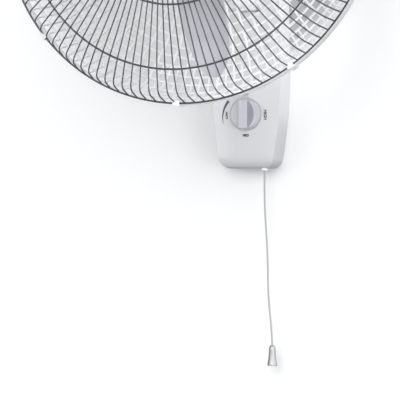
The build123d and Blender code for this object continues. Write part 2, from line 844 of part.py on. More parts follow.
# ---------------------------------------------------------------------------------------------------------
# Motor: two cast brackets, stator, end windings, bushes, bolts
# ---------------------------------------------------------------------------------------------------------
bearing_r = 8.0
hub_wall_r = 12.0
bracket_disc = 6.0
bracket_rim = 2.8
bolt_circle_r = 49.0
bolt_post_r = 4.7
motor_bolt_r = 1.8
bracket_seam = 120.0
disc_rear = bracket_front - bracket_disc
under_arm_half = 9.0
under_arm_bottom = fan_axis_height - bracket_r + 1.0
cover_screw_angles = (20.0, 160.0, 270.0)
cover_screw_distance = cover_lip - 3
vent_count = 7
vent_pitch = 7.0
vent_length = 44.0
vent_width = 3.0

with BuildPart() as motor_front_bracket:
    with BuildSketch(turned):
        with BuildLine():
            Polyline(
                (bearing_r + running_clearance, disc_rear - 8),
                (hub_wall_r, disc_rear - 8),
                (hub_wall_r, disc_rear),
                (bracket_r - bracket_rim, disc_rear),
                (bracket_r - bracket_rim, disc_rear - 8),
                (bracket_r, disc_rear - 8),
                (bracket_r, disc_rear + 0.2),
                (cover_r, disc_rear + 0.2),
                (cover_r, bracket_front),
                (collar_r, bracket_front),
                (collar_r, bracket_front + collar_length),
                (collar_r - 4, bracket_front + collar_length),
                (collar_r - 4, bracket_front),
                (bearing_r + running_clearance, bracket_front),
                close=True,
            )
        make_face()
    revolve(axis=fan_axis)
    with BuildSketch(facing(bracket_seam + 0.1, fan_axis_height)):
        with PolarLocations(bolt_circle_r, 4, 45):
            Circle(bolt_post_r)
    extrude(amount=disc_rear - bracket_seam - 0.1)
    with BuildSketch(facing(swing_distance - 10, (boss_top + under_arm_bottom) / 2)):
        Rectangle(2 * under_arm_half, boss_top - under_arm_bottom)
    extrude(amount=disc_rear - swing_distance + 10)
    with BuildSketch(level(boss_bottom, 0, swing_distance)):
        Circle(10)
    extrude(amount=boss_top - boss_bottom)
    with BuildSketch(level(boss_bottom, 0, swing_distance)):
        Circle(swing_collar_r + running_clearance)
    extrude(amount=boss_top - 0.8 - boss_bottom, mode=Mode.SUBTRACT)
    with BuildSketch(facing(bracket_seam, fan_axis_height)):
        with PolarLocations(bolt_circle_r, 4, 45):
            Circle(motor_bolt_r + running_clearance)
    extrude(amount=disc_rear - bracket_seam + 2, mode=Mode.SUBTRACT)
    for angle in cover_screw_angles:
        with BuildSketch(outward(angle, bracket_r - 2 * bracket_rim, cover_screw_distance)):
            Circle(screw_hole_r)
        extrude(amount=3 * bracket_rim, mode=Mode.SUBTRACT)
save(motor_front_bracket, "motor_front_bracket")

with BuildPart() as motor_rear_bracket:
    with BuildSketch(turned):
        with BuildLine():
            Polyline(
                (bearing_r + running_clearance, rear_bracket_rear),
                (stator_r + 3, rear_bracket_rear),
                (stator_r + 3, bracket_seam),
                (stator_r + running_clearance, bracket_seam),
                (stator_r + running_clearance, rear_bracket_rear + 3.5),
                (hub_wall_r, rear_bracket_rear + 3.5),
                (hub_wall_r, rear_bracket_rear + 10),
                (bearing_r + running_clearance, rear_bracket_rear + 10),
                close=True,
            )
        make_face()
    revolve(axis=fan_axis)
    with BuildSketch(facing(rear_bracket_rear, fan_axis_height)):
        with PolarLocations(bolt_circle_r, 4, 45):
            Circle(bolt_post_r)
        Circle(stator_r + 1.5, mode=Mode.SUBTRACT)
    extrude(amount=bracket_seam - rear_bracket_rear)
    with BuildSketch(facing(rear_bracket_rear, fan_axis_height)):
        with PolarLocations(bolt_circle_r, 4, 45):
            Circle(motor_bolt_r + running_clearance)
        with PolarLocations(28, 6):
            Circle(7)
    extrude(amount=bracket_seam - rear_bracket_rear, mode=Mode.SUBTRACT)
save(motor_rear_bracket, "motor_rear_bracket")

with BuildPart() as motor_bolts:
    with BuildSketch(facing(rear_bracket_rear - 3, fan_axis_height)):
        with PolarLocations(bolt_circle_r, 4, 45):
            RegularPolygon(3.6, 6)
    extrude(amount=3)
    with BuildSketch(facing(rear_bracket_rear, fan_axis_height)):
        with PolarLocations(bolt_circle_r, 4, 45):
            RegularPolygon(motor_bolt_r, screw_sides)
    extrude(amount=disc_rear + 1.5 - rear_bracket_rear)
save(motor_bolts, "motor_bolts")

with BuildPart() as stator_core:
    with BuildSketch(facing(motor_rear, fan_axis_height)):
        Circle(stator_r)
        with PolarLocations((rotor_r + slot_r) / 2, slot_count):
            Rectangle(slot_r - rotor_r + air_gap, slot_width, mode=Mode.SUBTRACT)
        Circle(rotor_r + air_gap, mode=Mode.SUBTRACT)
    extrude(amount=stator_length)
save(stator_core, "stator_core")

with BuildPart() as stator_windings:
    for end in (motor_rear - winding_size[1] - 0.1, stator_front + 0.1):
        with BuildSketch(turned):
            with Locations((winding_r, end + winding_size[1] / 2)):
                Rectangle(*winding_size)
        revolve(axis=fan_axis)
save(stator_windings, "stator_windings")

with BuildPart() as motor_bushes:
    for start, length in ((rear_bracket_rear + 0.2, 10), (disc_rear - 7.8, 13)):
        with BuildSketch(facing(start, fan_axis_height)):
            Circle(bearing_r)
            Circle(shaft_r + running_clearance, mode=Mode.SUBTRACT)
        extrude(amount=length)
save(motor_bushes, "motor_bushes")

# ---------------------------------------------------------------------------------------------------------
# Motor cover: round shell with a pod underneath that hides the swing link
# ---------------------------------------------------------------------------------------------------------
pod_roof = fan_axis_height - pod_roof_drop
pod_corner = 9.0
pod_opening_r = barrel_r + 1.8

with BuildPart() as cover_body:
    with BuildSketch(facing(cover_rear, fan_axis_height)):
        Circle(cover_r)
    extrude(amount=cover_lip - cover_rear)
    fillet(cover_body.faces().sort_by(Axis.Y)[-1].edges(), cover_round)
    with BuildSketch(level(pod_bottom, 0, (pod_front + pod_rear) / 2)):
        RectangleRounded(2 * pod_half_width, pod_front - pod_rear, pod_corner)
    extrude(amount=pod_roof - pod_bottom)

with BuildPart() as cover_core:
    with BuildSketch(facing(cover_rear + cover_wall, fan_axis_height)):
        Circle(cover_r - cover_wall)
    extrude(amount=cover_lip - cover_rear)
    chamfer(cover_core.faces().sort_by(Axis.Y)[-1].edges(), cover_round - cover_wall)
    with BuildSketch(level(pod_bottom + cover_wall, 0, (pod_front + pod_rear) / 2)):
        RectangleRounded(
            2 * (pod_half_width - cover_wall),
            pod_front - pod_rear - 2 * cover_wall,
            pod_corner - cover_wall,
        )
    extrude(amount=pod_roof - pod_bottom - cover_wall)
    with BuildSketch(level(pod_bottom, 0, swing_distance)):
        Circle(pod_opening_r)
    extrude(amount=2 * cover_wall)

with BuildPart() as motor_cover:
    add(cover_body.part)
    add(cover_core.part, mode=Mode.SUBTRACT)
    for angle in cover_screw_angles:
        with BuildSketch(outward(angle, bracket_r - bracket_rim, cover_screw_distance)):
            Circle(screw_hole_r)
        extrude(amount=2 * bracket_rim, mode=Mode.SUBTRACT)
    with BuildSketch(facing(cover_rear, fan_axis_height)):
        with GridLocations(1, vent_pitch, 1, vent_count):
            SlotOverall(vent_length, vent_width)
    extrude(amount=cover_wall, mode=Mode.SUBTRACT)
save(motor_cover, "motor_cover")

with BuildPart() as cover_screws:
    for angle in cover_screw_angles:
        with BuildSketch(outward(angle, bracket_r - bracket_rim, cover_screw_distance)):
            RegularPolygon(screw_r, screw_sides)
        extrude(amount=cover_r - bracket_r + bracket_rim + 0.1)
        with BuildSketch(outward(angle, cover_r + 0.1, cover_screw_distance)):
            RegularPolygon(screw_head_r, screw_sides)
        extrude(amount=screw_head_height)
save(cover_screws, "cover_screws")

# ---------------------------------------------------------------------------------------------------------
# Rotor: laminated core on the shaft, blade with its hub, drive pin, blade nut
# ---------------------------------------------------------------------------------------------------------
boss_r = 8.0
boss_rear = hub_rear + 6
drive_pin_r = 1.5
drive_pin_length = 15.0
drive_pin_distance = boss_rear + 2
blade_root_r = hub_r - 1

with BuildPart() as rotor_core:
    with BuildSketch(facing(motor_rear, fan_axis_height)):
        Circle(rotor_r)
        Circle(shaft_r, mode=Mode.SUBTRACT)
    extrude(amount=stator_length)
save(rotor_core, "rotor_core")

with BuildPart() as motor_shaft:
    with BuildSketch(facing(shaft_rear, fan_axis_height)):
        Circle(shaft_r)
    extrude(amount=shaft_front - shaft_rear)
    chamfer(motor_shaft.faces().sort_by(Axis.Y)[0].edges(), 0.8)
    with BuildSketch(across(drive_pin_distance, fan_axis_height)):
        Circle(drive_pin_r + running_clearance)
    extrude(amount=2 * shaft_r, both=True, mode=Mode.SUBTRACT)
save(motor_shaft, "motor_shaft")

with BuildPart() as drive_pin:
    with BuildSketch(across(drive_pin_distance, fan_axis_height)):
        Circle(drive_pin_r)
    extrude(amount=drive_pin_length / 2, both=True)
save(drive_pin, "drive_pin")

# Blade sections, from the root to the tip: (share of the blade's length, leading edge's side, its depth
# behind the hub's front, trailing edge's side, its depth). The fan turns clockwise as seen from the front.
blade_sections = (
    (0.0, -20.0, 34.0, 19.0, 8.0),
    (0.25, -29.0, 38.5, 33.0, 2.5),
    (0.46, -27.6, 40.5, 43.0, 0.5),
    (0.62, -21.0, 41.0, 50.0, 0.0),
    (0.81, -9.0, 38.0, 52.5, 1.0),
    (0.91, 2.0, 33.0, 48.0, 5.0),
    (0.97, 15.0, 25.0, 38.0, 11.0),
    (1.0, 23.0, 20.0, 31.0, 16.0),
)
blade_length = rim_r - blade_inset - blade_start_r


def blade_plane(turn, radius):
    """Plane across a blade: local x follows the rim, local y leads away from the wall."""
    cosine, sine = math.cos(math.radians(turn)), math.sin(math.radians(turn))
    return Plane(
        origin=(radius * sine, -hub_front, fan_axis_height - radius * cosine),
        x_dir=(cosine, 0, sine),
        z_dir=(sine, 0, -cosine),
    )


def blade_profile(lead, lead_depth, trail, trail_depth):
    """Thin section in a few facets, bowed to the rear."""
    start = Vector(lead, -lead_depth)
    end = Vector(trail, -trail_depth)
    chord = end - start
    rearward = Vector(chord.Y, -chord.X).normalized()
    bow = blade_camber * chord.length / 80
    thickness = blade_thickness * min(1, 0.5 + chord.length / 80)
    shares = [step / blade_facets for step in range(blade_facets + 1)]
    back = [start + chord * share + rearward * (4 * bow * share * (1 - share)) for share in shares]
    face = [point - rearward * thickness for point in reversed(back)]
    Polyline(*back, *face, close=True)


with BuildPart() as fan_blade:
    for blade in range(blade_count):
        for share, *section in blade_sections:
            radius = blade_start_r + share * blade_length
            with BuildSketch(blade_plane(blade * 360 / blade_count, radius)):
                with BuildLine():
                    blade_profile(*section)
                make_face()
        loft(ruled=True)
    with BuildSketch(facing(hub_rear, fan_axis_height)):
        Circle(blade_root_r)
    extrude(amount=hub_front - hub_rear, mode=Mode.SUBTRACT)
    with BuildSketch(turned):
        with BuildLine():
            Polyline(
                (shaft_r + running_clearance, boss_rear),
                (boss_r, boss_rear),
                (boss_r, hub_front - hub_wall),
                (hub_r - hub_wall, hub_front - hub_wall - 2),
                (hub_r - hub_wall, hub_rear),
                (hub_r, hub_rear),
                (hub_r, hub_front - 4),
                (hub_r - 4, hub_front),
                (shaft_r + running_clearance, hub_front),
                close=True,
            )
        make_face()
    revolve(axis=fan_axis)
    with BuildSketch(facing(boss_rear, fan_axis_height)):
        Rectangle(3 * boss_r, 2 * drive_pin_r + 2 * running_clearance)
        Circle(boss_r + 1, mode=Mode.INTERSECT)
    extrude(amount=drive_pin_distance + drive_pin_r + running_clearance - boss_rear, mode=Mode.SUBTRACT)
save(fan_blade, "fan_blade")

with BuildPart() as blade_nut:
    with BuildSketch(facing(hub_front + seam_clearance, fan_axis_height)):
        Circle(nut_r)
        with PolarLocations(nut_r + 2, nut_grips):
            RegularPolygon(nut_grip_r, 8, mode=Mode.SUBTRACT)
    extrude(amount=nut_height)
    chamfer(blade_nut.faces().sort_by(Axis.Y)[0].edges(), nut_edge)
    with BuildSketch(facing(hub_front + seam_clearance, fan_axis_height)):
        Circle(shaft_r + running_clearance)
    extrude(amount=shaft_front + 0.5 - hub_front, mode=Mode.SUBTRACT)
save(blade_nut, "blade_nut")

# ---------------------------------------------------------------------------------------------------------
# Rear guard: moulded, hub plate on the motor, radial ribs, rings, and a band around the rim
# ---------------------------------------------------------------------------------------------------------
rear_plate = 3.0
rear_dish = 4.0  # the ribs lean this far forward before they turn to the rim
rear_path = (
    (rear_hub_r - 4, bracket_front + rear_plate / 2 - rim_distance),
    (rim_r - 70, bracket_front + rear_plate / 2 + rear_dish - rim_distance),
    (rim_r - 16, -44.0),
    (rim_r - band_wall - 0.4, -band_depth + 1.5),
)
ring_section = (2.0, 2.2)


def rise_at(path, radius):
    """Place of a rib or wire along the fan axis, in front of the rim."""
    for (near_r, near), (far_r, far) in zip(path, path[1:]):
        if near_r <= radius <= far_r:
            return near + (far - near) * (radius - near_r) / (far_r - near_r)
    raise ValueError("radius outside the guard")


with BuildPart() as rear_rib:
    with BuildLine() as rib_line:
        Polyline(*[(0, -radius, rise) for radius, rise in rear_path])
    with BuildSketch(Plane(origin=rib_line.wires()[0] @ 0, x_dir=(1, 0, 0), z_dir=rib_line.wires()[0] % 0)):
        Rectangle(rib_width, rib_depth)
    sweep(transition=Transition.RIGHT)

with BuildPart() as rear_guard:
    with Locations(facing(rim_distance, fan_axis_height)):
        with PolarLocations(0, rib_count):
            add(rear_rib.part)
    for inset in rear_ring_insets:
        radius = rim_r - inset
        with BuildSketch(turned):
            with Locations((radius, rim_distance + rise_at(rear_path, radius))):
                Rectangle(*ring_section)
        revolve(axis=fan_axis)
    with BuildSketch(turned):
        with Locations((rim_r - band_wall / 2, rim_distance - band_depth / 2)):
            Rectangle(band_wall, band_depth)
    revolve(axis=fan_axis)
    with BuildSketch(facing(bracket_front, fan_axis_height)):
        Circle(rear_hub_r)
        Circle(collar_r + running_clearance, mode=Mode.SUBTRACT)
    extrude(amount=rear_plate)
save(rear_guard, "rear_guard")

guard_nut_height = 9.0

with BuildPart() as guard_nut:
    with BuildSketch(facing(bracket_front + rear_plate, fan_axis_height)):
        Circle(collar_r + 9)
        with PolarLocations(collar_r + 10, 6):
            RectangleRounded(8, 10, 2)
        Circle(collar_r + running_clearance, mode=Mode.SUBTRACT)
    extrude(amount=guard_nut_height)
save(guard_nut, "guard_nut")

# ---------------------------------------------------------------------------------------------------------
# Front guard: steel wires from a hub ring to the rim ring, two welded rings behind them, plain centre badge
# ---------------------------------------------------------------------------------------------------------
rim_ring = 3.0
hub_ring_size = (3.5, 4.0)
hub_ring_r = guard_hub_r - 1
badge_back = rim_distance + guard_hub_rise + hub_ring_size[1] / 2 + seam_clearance
badge_spigot = 6.0
badge_spigot_wall = 2.0
front_path = (
    (hub_ring_r, guard_hub_rise),
    (inner_ring_r, inner_ring_rise),
    (middle_ring_r, middle_ring_rise),
    (shoulder_r, shoulder_rise),
    (rim_r - rim_ring + 1.0, rim_ring / 2 + 0.4),
)
ring_behind = wire_width / 2 + ring_width / 2 + fit_clearance

with BuildPart() as front_wire:
    with BuildLine() as wire_line:
        Polyline(
            *[(-wire_swirl, -math.sqrt(radius**2 - wire_swirl**2), rise) for radius, rise in front_path]
        )
    with BuildSketch(Plane(origin=wire_line.wires()[0] @ 0, x_dir=(1, 0, 0), z_dir=wire_line.wires()[0] % 0)):
        Rectangle(wire_width, wire_width)
    sweep(transition=Transition.RIGHT)

with BuildPart() as front_guard:
    with Locations(facing(rim_distance, fan_axis_height)):
        with PolarLocations(0, wire_count):
            add(front_wire.part)
    with BuildSketch(turned):
        with Locations((rim_r - rim_ring / 2, rim_distance + rim_ring / 2 + 0.1)):
            Rectangle(rim_ring, rim_ring)
        with Locations((hub_ring_r, rim_distance + guard_hub_rise)):
            Rectangle(*hub_ring_size)
    revolve(axis=fan_axis)
save(front_guard, "front_guard")

with BuildPart() as guard_rings:
    with BuildSketch(turned):
        for radius, rise in ((inner_ring_r, inner_ring_rise), (middle_ring_r, middle_ring_rise)):
            with Locations((radius, rim_distance + rise - ring_behind)):
                Rectangle(ring_width, ring_width)
    revolve(axis=fan_axis)
save(guard_rings, "guard_rings")

with BuildPart() as front_badge:
    with BuildSketch(turned):
        with BuildLine():
            Polyline(
                (0, badge_back),
                (badge_r, badge_back),
                *[
                    (badge_r * part, badge_back + badge_edge + (badge_height - badge_edge) * (1 - part**2))
                    for part in badge_steps
                ],
                close=True,
            )
        make_face()
    revolve(axis=fan_axis)
    with BuildSketch(facing(badge_back, fan_axis_height)):
        Circle(hub_ring_r - hub_ring_size[0] / 2 - seam_clearance)
        Circle(hub_ring_r - hub_ring_size[0] / 2 - seam_clearance - badge_spigot_wall, mode=Mode.SUBTRACT)
    extrude(amount=-badge_spigot)
save(front_badge, "front_badge")

clip_wall = 1.5
clip_gap = 0.15
clip_rear = rim_distance - band_depth - clip_gap - clip_wall
clip_front = rim_distance + rim_ring + 0.1 + clip_gap + clip_wall
clip_lip_r = rim_r - 1.6

with BuildPart() as guard_clip:
    with BuildSketch(Plane(origin=(0, 0, 0), x_dir=(0, -1, 0), z_dir=(-1, 0, 0))):
        with BuildLine():
            Polyline(
                (clip_lip_r, clip_rear - rim_distance),
                (rim_r + clip_gap + clip_wall, clip_rear - rim_distance),
                (rim_r + clip_gap + clip_wall, clip_front - rim_distance),
                (clip_lip_r, clip_front - rim_distance),
                (clip_lip_r, clip_front - clip_wall - rim_distance),
                (rim_r + clip_gap, clip_front - clip_wall - rim_distance),
                (rim_r + clip_gap, clip_rear + clip_wall - rim_distance),
                (clip_lip_r, clip_rear + clip_wall - rim_distance),
                close=True,
            )
        make_face()
    extrude(amount=clip_width / 2, both=True)

with BuildPart() as guard_clips:
    with Locations(facing(rim_distance, fan_axis_height)):
        for angle in clip_angles:
            with Locations(Location((0, 0, 0), (0, 0, -angle))):
                add(guard_clip.part)
save(guard_clips, "guard_clips")
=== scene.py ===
# %% [markdown]
# # A wall fan, dressed for the camera
#
# The solids of the fan come packed and jointed. This script loads them as a fixed frame and gives every one
# of them a finish. It then models again the pieces whose beauty is in fine work: the cord with its bell, the
# wire guard, the moulded rear guard, the clips, the knob and the print round it, the centre cap, the blades
# and the front of the control box. All lengths are metres. +Z is up, the wall is the plane y = 0, and the
# fan looks towards -Y.

# %% Load the frame
import math

import bpy
from mathutils import Matrix, Vector


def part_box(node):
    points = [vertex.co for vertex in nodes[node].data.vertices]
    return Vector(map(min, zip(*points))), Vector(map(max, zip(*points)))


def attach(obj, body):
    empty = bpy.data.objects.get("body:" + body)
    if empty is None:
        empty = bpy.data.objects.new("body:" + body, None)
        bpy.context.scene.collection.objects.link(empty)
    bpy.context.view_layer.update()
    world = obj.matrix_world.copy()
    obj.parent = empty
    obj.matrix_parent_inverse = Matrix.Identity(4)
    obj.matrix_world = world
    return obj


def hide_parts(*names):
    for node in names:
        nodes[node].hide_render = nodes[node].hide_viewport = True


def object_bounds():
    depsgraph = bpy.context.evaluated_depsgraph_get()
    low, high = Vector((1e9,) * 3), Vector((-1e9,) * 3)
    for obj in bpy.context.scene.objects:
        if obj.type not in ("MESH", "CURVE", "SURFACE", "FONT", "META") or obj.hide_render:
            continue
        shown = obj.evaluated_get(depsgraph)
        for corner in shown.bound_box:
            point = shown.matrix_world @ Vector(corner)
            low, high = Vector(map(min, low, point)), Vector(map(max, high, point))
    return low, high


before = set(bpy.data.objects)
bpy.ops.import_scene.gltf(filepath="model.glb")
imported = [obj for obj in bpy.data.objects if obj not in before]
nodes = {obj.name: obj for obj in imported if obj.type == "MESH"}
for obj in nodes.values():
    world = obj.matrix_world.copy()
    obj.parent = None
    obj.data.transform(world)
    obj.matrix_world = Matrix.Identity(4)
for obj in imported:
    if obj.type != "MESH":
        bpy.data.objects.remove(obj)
cad_low, cad_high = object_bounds()
print("solids", len(nodes), "box", [round(v, 3) for v in cad_low], [round(v, 3) for v in cad_high])

mm = 0.001

# %% [markdown]
# ## Measures taken from the frame
#
# A new piece has to sit exactly where the solid it stands for sits. Typing the places in again would work
# until the first change, so they are read from the boxes of the solids: the fan axis is the middle of the
# guard, the rim plane is the front of the rear guard, and so on.

# %% Where things are
guard_low, guard_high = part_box("front_guard")
band_low, band_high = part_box("rear_guard")
knob_low, knob_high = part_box("speed_knob")
shell_low, shell_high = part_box("front_shell")

axis_z = (guard_low.z + guard_high.z) / 2
rim_r = (guard_high.x - guard_low.x) / 2
rim_y = band_low.y
axis_point = Vector((0, rim_y, axis_z))
knob_play = 1.0 * mm
shell_front = knob_high.y + knob_play
knob_z = (knob_low.z + knob_high.z) / 2
print("fan axis", round(axis_z, 4), "rim radius", round(rim_r, 4), "rim plane", round(rim_y, 4))
print("knob", round(knob_z, 4), "shell front", round(shell_front, 4))

# %% [markdown]
# ## The camera
#
# The view is that of someone who stands two metres off, to the right of the fan, with the camera held almost
# level. A level camera keeps upright edges parallel in the picture, as a product photographer does it. Its
# place could be found by trial; matching the ellipses of the guard's three rings is surer, because each
# ellipse gives both a direction and a distance. The lens is long, so the far and the near side of the guard
# hardly differ in scale.

# %% Camera
camera_place = Vector((0.7217, -2.0020, -0.2053))
camera_turn = math.radians(21.647)
camera_pitch = math.radians(-0.254)
sensor = 36.0
picture_width = 400
focal_pixels = 1763.8

camera_data = bpy.data.cameras.new("camera")
camera_data.sensor_width = sensor
camera_data.lens = focal_pixels / picture_width * sensor
camera = bpy.data.objects.new("camera", camera_data)
bpy.context.collection.objects.link(camera)
camera.location = camera_place
camera.rotation_euler = (math.pi / 2 + camera_pitch, 0, camera_turn)
bpy.context.scene.camera = camera
print("lens", round(camera_data.lens, 1), "mm")

# %% [markdown]
# ## Shader maths as Python
#
# A procedural finish is mostly arithmetic on patterns. Adding a Math node by hand for each plus sign is slow
# to read, so a small class wraps an output socket and turns Python's operators into Math nodes. A number
# stays a number for as long as it can; only what varies over the surface becomes a node.

# %% A varying value


class Value:
    """A number or a vector that varies over a surface."""

    def __init__(self, shader, socket):
        self.shader = shader
        self.socket = socket

    def maths(self, operation, first, second=0):
        return self.shader.add("ShaderNodeMath", {"operation": operation}, {0: first, 1: second})

    def __add__(self, other):
        return self.maths("ADD", self, other)

    def __sub__(self, other):
        return self.maths("SUBTRACT", self, other)

    def __rsub__(self, other):
        return self.maths("SUBTRACT", other, self)

    def __mul__(self, other):
        return self.maths("MULTIPLY", self, other)

    def __pow__(self, other):
        return self.maths("POWER", self, other)

    def over(self, other):
        """1 where the value is the greater one, otherwise 0."""
        return self.maths("GREATER_THAN", self, other)

    def wave(self):
        """Sine of the value, in radians."""
        return self.maths("SINE", self)

    __radd__ = __add__
    __rmul__ = __mul__


# %% [markdown]
# ## A tree of nodes
#
# The surroundings and the finishes are all trees of nodes, so one class fills any tree. A finish is such a
# tree with a Principled surface at its end. Its patterns read the place on the piece in metres, so they keep
# their scale on every piece and never slide when the fan moves.

# %% A shader


class Shader:
    """A tree of nodes and the one method that adds to it."""

    def __init__(self, tree):
        self.tree = tree

    def add(self, kind, settings, sockets, output=0):
        """Adds a node: its settings first, then values or links for its sockets."""
        node = self.tree.nodes.new(kind)
        for setting, value in settings.items():
            setattr(node, setting, value)
        for socket, value in sockets.items():
            self.join(value, node.inputs[socket])
        return Value(self, node.outputs[output])

    def join(self, value, socket):
        """Links a varying value, or sets a plain one."""
        if isinstance(value, Value):
            self.tree.links.new(value.socket, socket)
        else:
            socket.default_value = value

    def end(self, value):
        """Makes a value the last thing in the tree, what is seen."""
        output = next(node for node in self.tree.nodes if node.type.startswith("OUTPUT"))
        self.join(value, output.inputs["Surface"])

    def fade(self, value, start, end, low, high):
        """Soft passage from low to high while the value goes from start to end."""
        ends = {"Value": value, "From Min": start, "From Max": end, "To Min": low, "To Max": high}
        return self.add("ShaderNodeMapRange", {"interpolation_type": "SMOOTHSTEP"}, ends)


# %% A finish


class Finish(Shader):
    """One material: its nodes, its pattern helpers and its Principled surface."""

    def __init__(self, name):
        self.material = bpy.data.materials.new(name)
        self.material.use_nodes = True
        super().__init__(self.material.node_tree)
        self.surface = self.tree.nodes["Principled BSDF"]
        self.place = self.add("ShaderNodeTexCoord", {}, {}, "Object")

    def noise(self, scale, detail=2.0, stretch=(1, 1, 1)):
        """Cloudy pattern from 0 to 1; scale is in patches a metre."""
        place = self.add("ShaderNodeMapping", {}, {"Vector": self.place, "Scale": stretch})
        return self.add("ShaderNodeTexNoise", {}, {"Vector": place, "Scale": scale, "Detail": detail})

    def cells(self, scale):
        """Distance to the nearest of scattered points."""
        return self.add("ShaderNodeTexVoronoi", {}, {"Vector": self.place, "Scale": scale})

    def axis(self, name):
        """One coordinate of the place on the piece, in metres."""
        return self.add("ShaderNodeSeparateXYZ", {}, {0: self.place}, name)

    def blend(self, amount, low, high):
        """Colour between two colours."""
        colours = {"Factor": amount, 6: (*low, 1), 7: (*high, 1)}
        return self.add("ShaderNodeMix", {"data_type": "RGBA"}, colours, 2)

    def bump(self, height, depth):
        """Normal that makes a height of 0 to 1 look depth metres high."""
        return self.add("ShaderNodeBump", {}, {"Height": height, "Strength": 1.0, "Distance": depth})

    def set(self, **sockets):
        """Sets sockets of the surface by name, with _ for a space."""
        for name, value in sockets.items():
            self.join(value, self.surface.inputs[name.replace("_", " ")])


# %% [markdown]
# ## Surroundings
#
# A white room lights the fan from all sides. Real studios hang white sheets for it; here the world does it,
# and it grows brighter from left to right, because the right faces of the fan are the lighter ones. The
# camera itself sees a plain backdrop instead, so the picture's ground stays even.

# %% Surroundings
bpy.context.scene.view_settings.view_transform = "Standard"
bpy.context.scene.view_settings.look = "None"

left_strength = 0.35
right_strength = 1.80
world = bpy.data.worlds.new("surroundings")
bpy.context.scene.world = world
world.use_nodes = True
room = Shader(world.node_tree)
direction = room.add("ShaderNodeTexCoord", {}, {}, "Generated")
rightward = room.add("ShaderNodeSeparateXYZ", {}, {0: direction}, "X")
strengths = {"From Min": -1.0, "To Min": left_strength, "To Max": right_strength}
strength = room.add("ShaderNodeMapRange", {}, {"Value": rightward, **strengths})
sheets_of_white = room.add("ShaderNodeBackground", {}, {"Color": (0.97, 0.98, 1.0, 1), "Strength": strength})
backdrop = room.add("ShaderNodeBackground", {}, {"Color": (0.96, 0.96, 0.965, 1)})
seen = room.add("ShaderNodeLightPath", {}, {}, "Is Camera Ray")
room.end(room.add("ShaderNodeMixShader", {}, {0: seen, 1: sheets_of_white, 2: backdrop}))
print("surroundings from", left_strength, "to", right_strength)

# %% [markdown]
# ## Wall and floor
#
# The fan hangs on a plain white wall above a pale floor. The wall is one-sided: seen from behind it lets the
# view through, so the back of the fan can be looked at too. The big head keeps light off the wall behind it.
# Lamps alone would give that shade hard bars from the ribs, so a soft darker patch in the wall's own paint
# does it, and the wall stays out of bounced and mirrored light.

# %% Wall and floor


def clear_selection():
    """Leaves nothing selected, because operators act on all that is."""
    if bpy.context.mode != "OBJECT":
        bpy.ops.object.mode_set(mode="OBJECT")
    bpy.ops.object.select_all(action="DESELECT")


def slab(paint, place, width, height, turn=(0, 0, 0)):
    """A flat stage surface with matt paint."""
    clear_selection()
    bpy.ops.mesh.primitive_plane_add(size=1, location=place, rotation=turn)
    piece = bpy.context.object
    piece.name = paint.material.name
    piece.scale = (width, height, 1)
    bpy.ops.object.transform_apply(location=True, rotation=True, scale=True)
    paint.set(Roughness=0.9, Specular_IOR_Level=0.1)
    piece.data.materials.append(paint.material)
    return piece


wall_white = 0.88
shade_left = 0.70
shade_right = 0.38
shade_middle = (-0.094, 0.0, axis_z + 0.041)
shade_inner_r = 0.215
shade_outer_r = 0.262

wall_paint = Finish("wall")
from_middle = wall_paint.add(
    "ShaderNodeVectorMath", {"operation": "DISTANCE"}, {0: wall_paint.place, 1: shade_middle}, "Value"
)
bare = wall_paint.fade(from_middle, shade_inner_r, shade_outer_r, 0.0, 1.0)
shade = wall_paint.fade(wall_paint.axis("X"), -0.02, 0.05, shade_left, shade_right)
wall_paint.set(Base_Color=shade + (wall_white - shade) * bare)
from_behind = wall_paint.add("ShaderNodeNewGeometry", {}, {}, "Backfacing")
painted_side = Value(wall_paint, wall_paint.surface.outputs[0])
open_side = wall_paint.add("ShaderNodeBsdfTransparent", {}, {})
wall_paint.end(wall_paint.add("ShaderNodeMixShader", {}, {0: from_behind, 1: painted_side, 2: open_side}))
wall = slab(wall_paint, (0, 0.4 * mm, 0), 7, 6, (math.pi / 2, 0, 0))
wall.visible_diffuse = False
wall.visible_glossy = False

floor_drop = 0.6
floor_paint = Finish("floor")
floor_paint.set(Base_Color=(0.35, 0.35, 0.35, 1))
slab(floor_paint, (0, 0, cad_low.z - floor_drop), 60, 60)
print("wall and floor ready")

# %% [markdown]
# ## Lamps
#
# One bare bulb would draw hard black lines behind each wire. Wide square soft boxes give the soft light of a
# product picture: the key from above the camera, a weak one from the left and a stronger one from below on
# the right. A small spot is aimed under the rim, at the top of the control box, which the head would darken.

# %% Lamps


def lamp(name, place, target, size, power, colour=(1.0, 1.0, 1.0), beam=None):
    """A square soft box that points at a place, or a spot whose beam is given in degrees."""
    data = bpy.data.lights.new(name, "SPOT" if beam else "AREA")
    if beam:
        data.spot_size = math.radians(beam)
        data.spot_blend = 1.0
        data.shadow_soft_size = size
    else:
        data.shape = "SQUARE"
        data.size = size
    data.energy = power
    data.color = colour
    light = bpy.data.objects.new(name, data)
    bpy.context.collection.objects.link(light)
    light.location = place
    light.rotation_euler = (Vector(target) - Vector(place)).to_track_quat("-Z", "Y").to_euler()


box_middle = (0.0, 0.0, -0.1)
lamp("key", (0.25, -2.9, 0.8), (0.0, 0.0, 0.0), size=1.5, power=31, colour=(1.0, 0.995, 0.985))
lamp("left", (-1.7, -2.2, 0.1), box_middle, size=1.1, power=10, colour=(0.985, 0.99, 1.0))
lamp("right", (2.2, -1.5, -0.8), box_middle, size=1.2, power=22)
lamp("under", (0.45, -1.2, -0.75), (0.0, shell_front, 0.005), size=0.1, power=120, beam=6.4)
print("lamps", len(bpy.data.lights))

